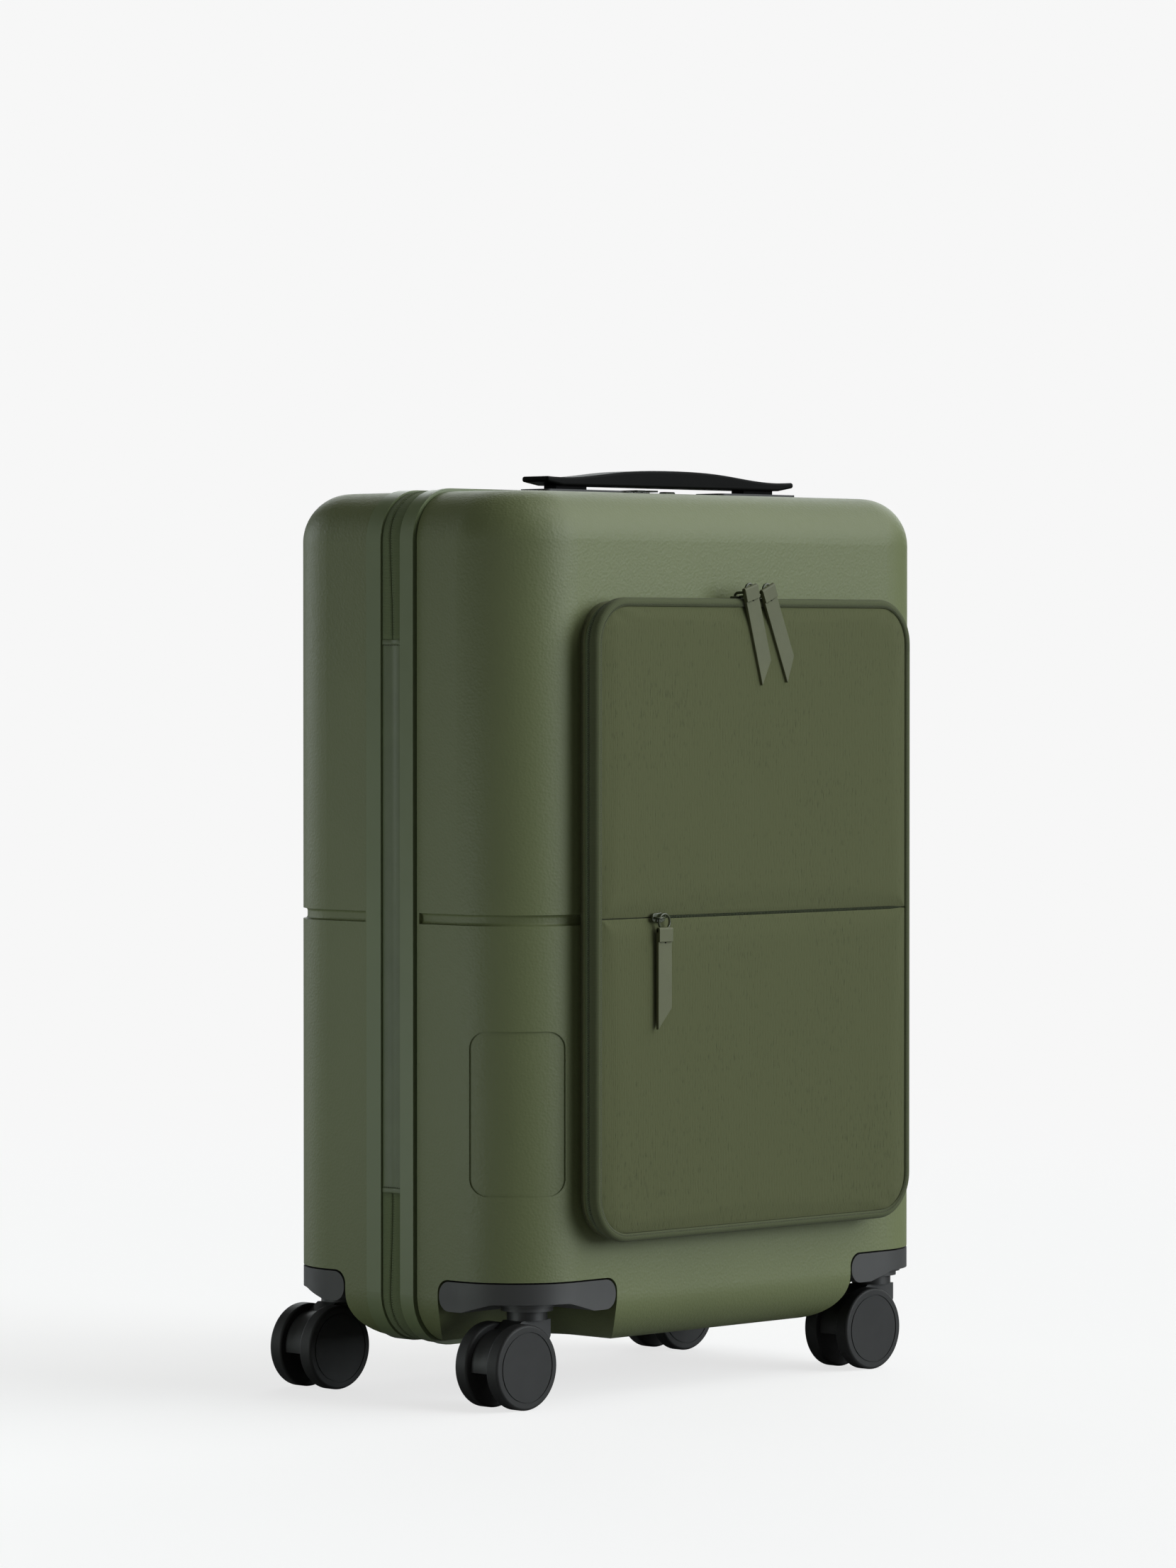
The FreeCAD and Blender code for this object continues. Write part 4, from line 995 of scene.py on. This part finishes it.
def topSlider(index):
    node = f"sleeve_slider_{index + 1}"
    low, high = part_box(node)
    x = (low.x + high.x) / 2
    bridge = Vector((x, 0, high.z - pull["bridge"]))
    body = f"sleeve_zip_{index + 1}"
    bodyTop = low.z + 3.0 * mm
    tail = high.y
    nose = rimHigh.y + 0.35 * mm               # the slider body stays behind the rim, only its loop reaches over
    plan = [(x - 4.2 * mm, tail - 1.5 * mm), (x - 2.6 * mm, tail), (x + 2.6 * mm, tail),
            (x + 4.2 * mm, tail - 1.5 * mm), (x + 3.6 * mm, nose + 0.7 * mm), (x + 2.4 * mm, nose),
            (x - 2.4 * mm, nose), (x - 3.6 * mm, nose + 0.7 * mm)]
    block = prism(node + "Body", plan, (low.z, bodyTop), "z", 0.5 * mm, 3)
    finishOff(block, body, "zip_metal", "darkMetal", node)
    arch = [Vector((x, y, z)) for y, z in (
        (tail - 1.6 * mm, bodyTop - 0.6 * mm), (tail - 1.8 * mm, bodyTop + 1.2 * mm),
        (tail - 3.4 * mm, bridge.z - 0.1 * mm), (nose - 1.0 * mm, bridge.z), (low.y + 2.0 * mm, bridge.z),
        (low.y + 0.7 * mm, bridge.z - 0.7 * mm), (low.y + 1.6 * mm, bridge.z - 2.2 * mm),
        (nose - 1.2 * mm, bridge.z - 2.4 * mm), (nose + 0.9 * mm, bodyTop - 0.5 * mm))]
    finishOff(tubeAlong(node + "Arch", arch, pull["bridge"] * 0.85), body, "zip_metal", "darkMetal")
    pullNode = f"sleeve_pull_{index + 1}"
    pullBody = f"sleeve_tab_{index + 1}"
    strapBack = rimLow.y - 0.55 * mm
    ringY = strapBack - pull["thickness"] / 2 + 0.3 * mm
    ringAt = Vector((x, ringY, bridge.z + pull["topRingLift"]))
    ring = ringMesh(pullNode + "Ring", ringAt, pull["topRingRadius"], pull["ringWire"])
    tilted(ring, bridge, pull["tilts"][index])
    finishOff(ring, pullBody, "zip_metal", "darkMetal")
    strapPieces(pullNode, x, bridge.z + pull["strapRise"], strapBack, pullBody, bridge, pull["tilts"][index], pullNode)


for index in (0, 1):
    topSlider(index)


def pocketSlider():
    node, body = "sleeve_slider_3", "sleeve_zip_3"
    low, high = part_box(node)
    x, z = (low.x + high.x) / 2, (low.z + high.z) / 2
    back = high.y
    lower = ((low.x, 1.5), (low.x + 1.0 * mm, 2.5), (x + 2.0 * mm, 3.0), (high.x - 0.6 * mm, 2.2))
    plan = [(px, z - dz * mm) for px, dz in lower] + [(high.x, z)] + [(px, z + dz * mm) for px, dz in reversed(lower)]
    block = prism(node + "Body", plan, (back, back - 1.8 * mm), "y", 0.45 * mm, 3)
    finishOff(block, body, "zip_metal", "darkMetal", node)
    pivot = Vector((x + 3.0 * mm, 0, z))
    top = back - 1.4 * mm
    # the loop crosses over the ring's left side and comes down inside the ring
    arch = [Vector((px, py, z)) for px, py in (
        (low.x + 1.2 * mm, top), (low.x + 1.3 * mm, top - 2.2 * mm), (x - 2.2 * mm, top - 3.5 * mm),
        (x + 0.8 * mm, top - 3.6 * mm), (pivot.x - 0.5 * mm, top - 2.6 * mm), (pivot.x - 0.1 * mm, top))]
    finishOff(tubeAlong(node + "Arch", arch, 0.7 * mm), body, "zip_metal", "darkMetal")
    ringY = back - 2.1 * mm - pull["ringWire"] * 1.4
    ringAt = Vector((pivot.x, ringY, z - pull["ringLift"]))
    ring = ringMesh("sleeve_pull_3Ring", ringAt, pull["ringRadius"], pull["ringWire"])
    finishOff(ring, "sleeve_tab_3", "zip_metal", "darkMetal")
    strapPieces("sleeve_pull_3", pivot.x, z - 5.6 * mm, back - 2.1 * mm, "sleeve_tab_3", pivot, 0.0, "sleeve_pull_3")


pocketSlider()
print("sliders hung")


# ---- inside: linings and packing straps ----

inside = {
    "round": 26.0 * mm,
    "split": 8.8 * mm,
    "hem": 6.0 * mm,
    "hemPitch": 4.2 * mm,
    "strapZs": (200.0 * mm, 370.0 * mm),
    "strapWidth": 25.0 * mm,
}


def liningPanel(name, body, low, high, zLow, zHigh, towards, *nodes):
    # towards is the y direction that the lining faces, -1 or 1
    def shape(x, z, deep, frontAt):
        soft = 0.5 * mm * math.exp(-deep / (1.2 * mm))
        soft += 0.25 * mm * math.exp(-((deep - inside["hem"]) / (0.9 * mm)) ** 2)
        return frontAt - towards * soft

    front, back = (low.y, high.y) if towards < 0 else (high.y, low.y)
    half = (high.x - low.x) / 2
    midX = (low.x + high.x) / 2
    piece = softPanel(name, midX, half, zLow, zHigh, inside["round"], inside["round"], front, back, shape, 0.014)
    finishOff(piece, body, "lining", "lining", *nodes)
    hem = inside["hem"]
    path, total = outlineOf(midX, half - hem, zLow + hem, zHigh - hem, inside["round"] - hem)
    spots = []
    for x, z, nx, nz, run in along(path, total, inside["hemPitch"]):
        centre = Vector((x, front - towards * 0.15 * mm, z))
        spots.append((centre, Vector((-nz, 0, nx)) * 1.4 * mm, Vector((0, towards, 0))))
    finishOff(threadRow(name + "Hem", spots, 0.25 * mm, sides=5), body, "lining", "lightThread")


liningLow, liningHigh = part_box("back_lining")
liningPanel("backLiningPanel", "case_back", liningLow, liningHigh, liningLow.z, liningHigh.z, -1, "back_lining")
frontLow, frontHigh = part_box("front_lining")
grooveZ = (shellLow.z + shellHigh.z) / 2
liningPanel("frontLiningLower", "case_front", frontLow, frontHigh, frontLow.z, grooveZ - inside["split"], 1,
            "front_lining")
liningPanel("frontLiningUpper", "case_front", frontLow, frontHigh, grooveZ + inside["split"], frontHigh.z, 1)


def packingStrap(index, z):
    low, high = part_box("compression_straps")
    front = liningLow.y
    half = inside["strapWidth"] / 2
    weave = ((-1.3, -1), (-1.45, -0.8), (-1.45, 0.8), (-1.3, 1), (-0.15, 1), (-0.05, 0.8), (-0.05, -0.8), (-0.15, -1))
    verts, uvs, faces = [], [], []
    columns = 90
    for c in range(columns + 1):
        x = low.x + (high.x - low.x) * c / columns
        lift = 0.25 * mm * math.sin(c * 0.37 + index)
        for dy, dz in weave:
            y = front + dy * mm - (abs(lift) if dy < -1 else 0)
            verts.append((x, y, z + dz * half))
            uvs.append((x, dz * half))
    for c in range(columns):
        for k in range(8):
            faces.append((c * 8 + k, c * 8 + (k + 1) % 8, (c + 1) * 8 + (k + 1) % 8, (c + 1) * 8 + k))
    faces += [tuple(range(8)), tuple(reversed(range(columns * 8, columns * 8 + 8)))]
    strap = addMesh(f"packingStrap{index}", verts, faces, uvs=uvs)
    finishOff(strap, "case_back", "lining", "webbing", "compression_straps")
    midX = (low.x + high.x) / 2
    y = front - 1.6 * mm
    for label, x0, x1, halfZ in (("Frame", -23, 3, 17), ("Clasp", 4, 23, 14)):
        plan = [(midX + dx * mm, z + dz * mm)
                for dx, dz in ((x0, -halfZ), (x1, 2 - halfZ), (x1, halfZ - 2), (x0, halfZ))]
        piece = prism(f"packingBuckle{label}{index}", plan, (y, y - 3.6 * mm), "y", 1.3 * mm, 3)
        finishOff(piece, "case_back", "black_plastic", "black")
    for side in (-1, 1):
        plan = [(midX + dx * mm, z + side * dz * mm) for dx, dz in ((1, 14.5), (10, 13.0), (10, 9.5), (1, 9.5))]
        name = f"packingProng{index}{'Low' if side < 0 else 'High'}"
        prong = prism(name, plan, (y - 0.5 * mm, y - 3.0 * mm), "y", 0.8 * mm)
        finishOff(prong, "case_back", "black_plastic", "black")


for index, z in enumerate(inside["strapZs"]):
    packingStrap(index + 1, z)
print("inside lined")


# ---- studio: floor, light and camera ----

studio = {
    "backdrop": 0.930,          # what the camera sees where there is no shadow
    "floorColor": 1.0,
    "floorBounce": 0.30,
    "floorPlain": 0.74,
    "nearGlow": 0.963,
    "floorSize": 14.0,
    "plainFrom": 1.1,
    "plainTo": 2.6,
    "worldStrength": 0.065,
    "worldTint": (1.0, 0.98, 0.93),
    "keyFrom": (0.42, -0.89, 0.15), "keyPower": 2.15, "keySpread": 40, "keyTint": (0.93, 1.0, 1.03),
    "rimFrom": (-0.18, 0.96, 0.05), "rimPower": 0.85, "rimSpread": 40, "rimTint": (0.93, 1.0, 1.02),
    "sideFrom": (-0.92, -0.38, 0.05), "sidePower": 0.17, "sideSpread": 50, "sideTint": (1.0, 0.99, 0.90),
    "highFrom": (0.55, -0.50, 0.67), "highPower": 2.2, "highSpread": 60, "highTint": (0.97, 1.0, 1.0),
    "edgeFrom": (0.72, 0.55, 0.41), "edgePower": 1.2, "edgeSpread": 50, "edgeTint": (0.95, 1.0, 1.0),
    "lowPlace": (-0.95, 0.28, 0.05), "lowAim": (-0.19, 0.05, 0.09), "lowSize": 0.5, "lowPower": 2.6,
    "lowTint": (0.90, 1.0, 0.96),
    "camera": (-2.80085, -2.67919, 0.43717),
    "aim": (0.71902, 0.69471, -0.01977),
    "lens": 146.56,
    "sensor": 36.0,
}


def studioWorld():
    world = bpy.data.worlds.new("studioWorld")
    bpy.context.scene.world = world
    world.use_nodes = True
    tree = world.node_tree
    tree.nodes.clear()
    seen = addNode(tree, "Background", {"Color": (studio["backdrop"],) * 3 + (1,), "Strength": 1.0})
    lit = addNode(tree, "Background", {"Color": studio["worldTint"] + (1,), "Strength": studio["worldStrength"]})
    rays = addNode(tree, "LightPath", {})
    mix = addNode(tree, "MixShader", {0: rays.outputs["Is Camera Ray"], 1: lit.outputs[0], 2: seen.outputs[0]})
    addNode(tree, "OutputWorld", {"Surface": mix.outputs[0]})


def studioFloor():
    half = studio["floorSize"] / 2
    corners = [(-half, -half, 0), (half, -half, 0), (half, half, 0), (-half, half, 0)]
    floor = addMesh("studioFloor", corners, [(0, 1, 2, 3)], smooth=False)
    material = bpy.data.materials.new("studioPaper")
    material.use_nodes = True
    tree = material.node_tree
    tree.nodes.clear()

    def ranged(value, **ends):
        return addNode(tree, "MapRange", {"Value": value} | {key.replace("_", " "): end for key, end in ends.items()})

    seen = addNode(tree, "LightPath", {}).outputs["Is Camera Ray"]
    spot = addNode(tree, "TexCoord", {}).outputs["Object"]
    away = addNode(tree, "VectorMath", {0: spot}, operation="LENGTH").outputs["Value"]
    fade = ranged(away, From_Min=studio["plainFrom"], From_Max=studio["plainTo"], To_Min=studio["floorPlain"])
    fade.interpolation_type = "SMOOTHSTEP"
    fade = fade.outputs["Result"]
    glow = ranged(fade, From_Min=studio["floorPlain"], To_Min=studio["nearGlow"], To_Max=studio["backdrop"])
    bounce = ranged(seen, To_Min=studio["floorBounce"], To_Max=studio["floorColor"])
    both = addNode(tree, "Math", {0: fade, 1: seen}, operation="MULTIPLY")
    paper = addNode(tree, "BsdfDiffuse", {"Color": bounce.outputs["Result"]})
    plain = addNode(tree, "Emission", {"Color": glow.outputs["Result"]})
    mix = addNode(tree, "MixShader", {0: both.outputs[0], 1: paper.outputs[0], 2: plain.outputs[0]})
    addNode(tree, "OutputMaterial", {"Surface": mix.outputs[0]})
    floor.data.materials.append(material)


def hold(name, data, place, facing, front):
    # puts a light or the camera in the scene, turned so that its front axis lies along facing
    holder = bpy.data.objects.new(name, data)
    holder.location = place
    holder.rotation_mode = "QUATERNION"
    holder.rotation_quaternion = Vector(facing).to_track_quat(front, "Y")
    bpy.context.scene.collection.objects.link(holder)
    return holder


def sunFrom(name, direction, power, spread, color):
    lamp = bpy.data.lights.new(name, "SUN")
    lamp.energy = power
    lamp.color = color
    lamp.angle = math.radians(spread)
    hold(name, lamp, Vector(direction) * 3, direction, "Z")


def lowPanel():
    lamp = bpy.data.lights.new("lowPanel", "AREA")
    lamp.shape = "DISK"
    lamp.size = studio["lowSize"]
    lamp.energy = studio["lowPower"]
    lamp.color = studio["lowTint"]
    hold("lowPanel", lamp, studio["lowPlace"], Vector(studio["lowPlace"]) - Vector(studio["lowAim"]), "Z")


def studioCamera():
    lens = bpy.data.cameras.new("studioCamera")
    lens.lens = studio["lens"]
    lens.sensor_width = studio["sensor"]
    lens.clip_start, lens.clip_end = 0.1, 60.0
    bpy.context.scene.camera = hold("studioCamera", lens, studio["camera"], studio["aim"], "-Z")


studioWorld()
studioFloor()
for role in ("key", "rim", "side", "high", "edge"):
    sunFrom(role + "Sun", studio[role + "From"], studio[role + "Power"], studio[role + "Spread"], studio[role + "Tint"])
lowPanel()
studioCamera()
bpy.context.scene.view_settings.view_transform = "Standard"
print("studio lit")

bpy.context.view_layer.update()
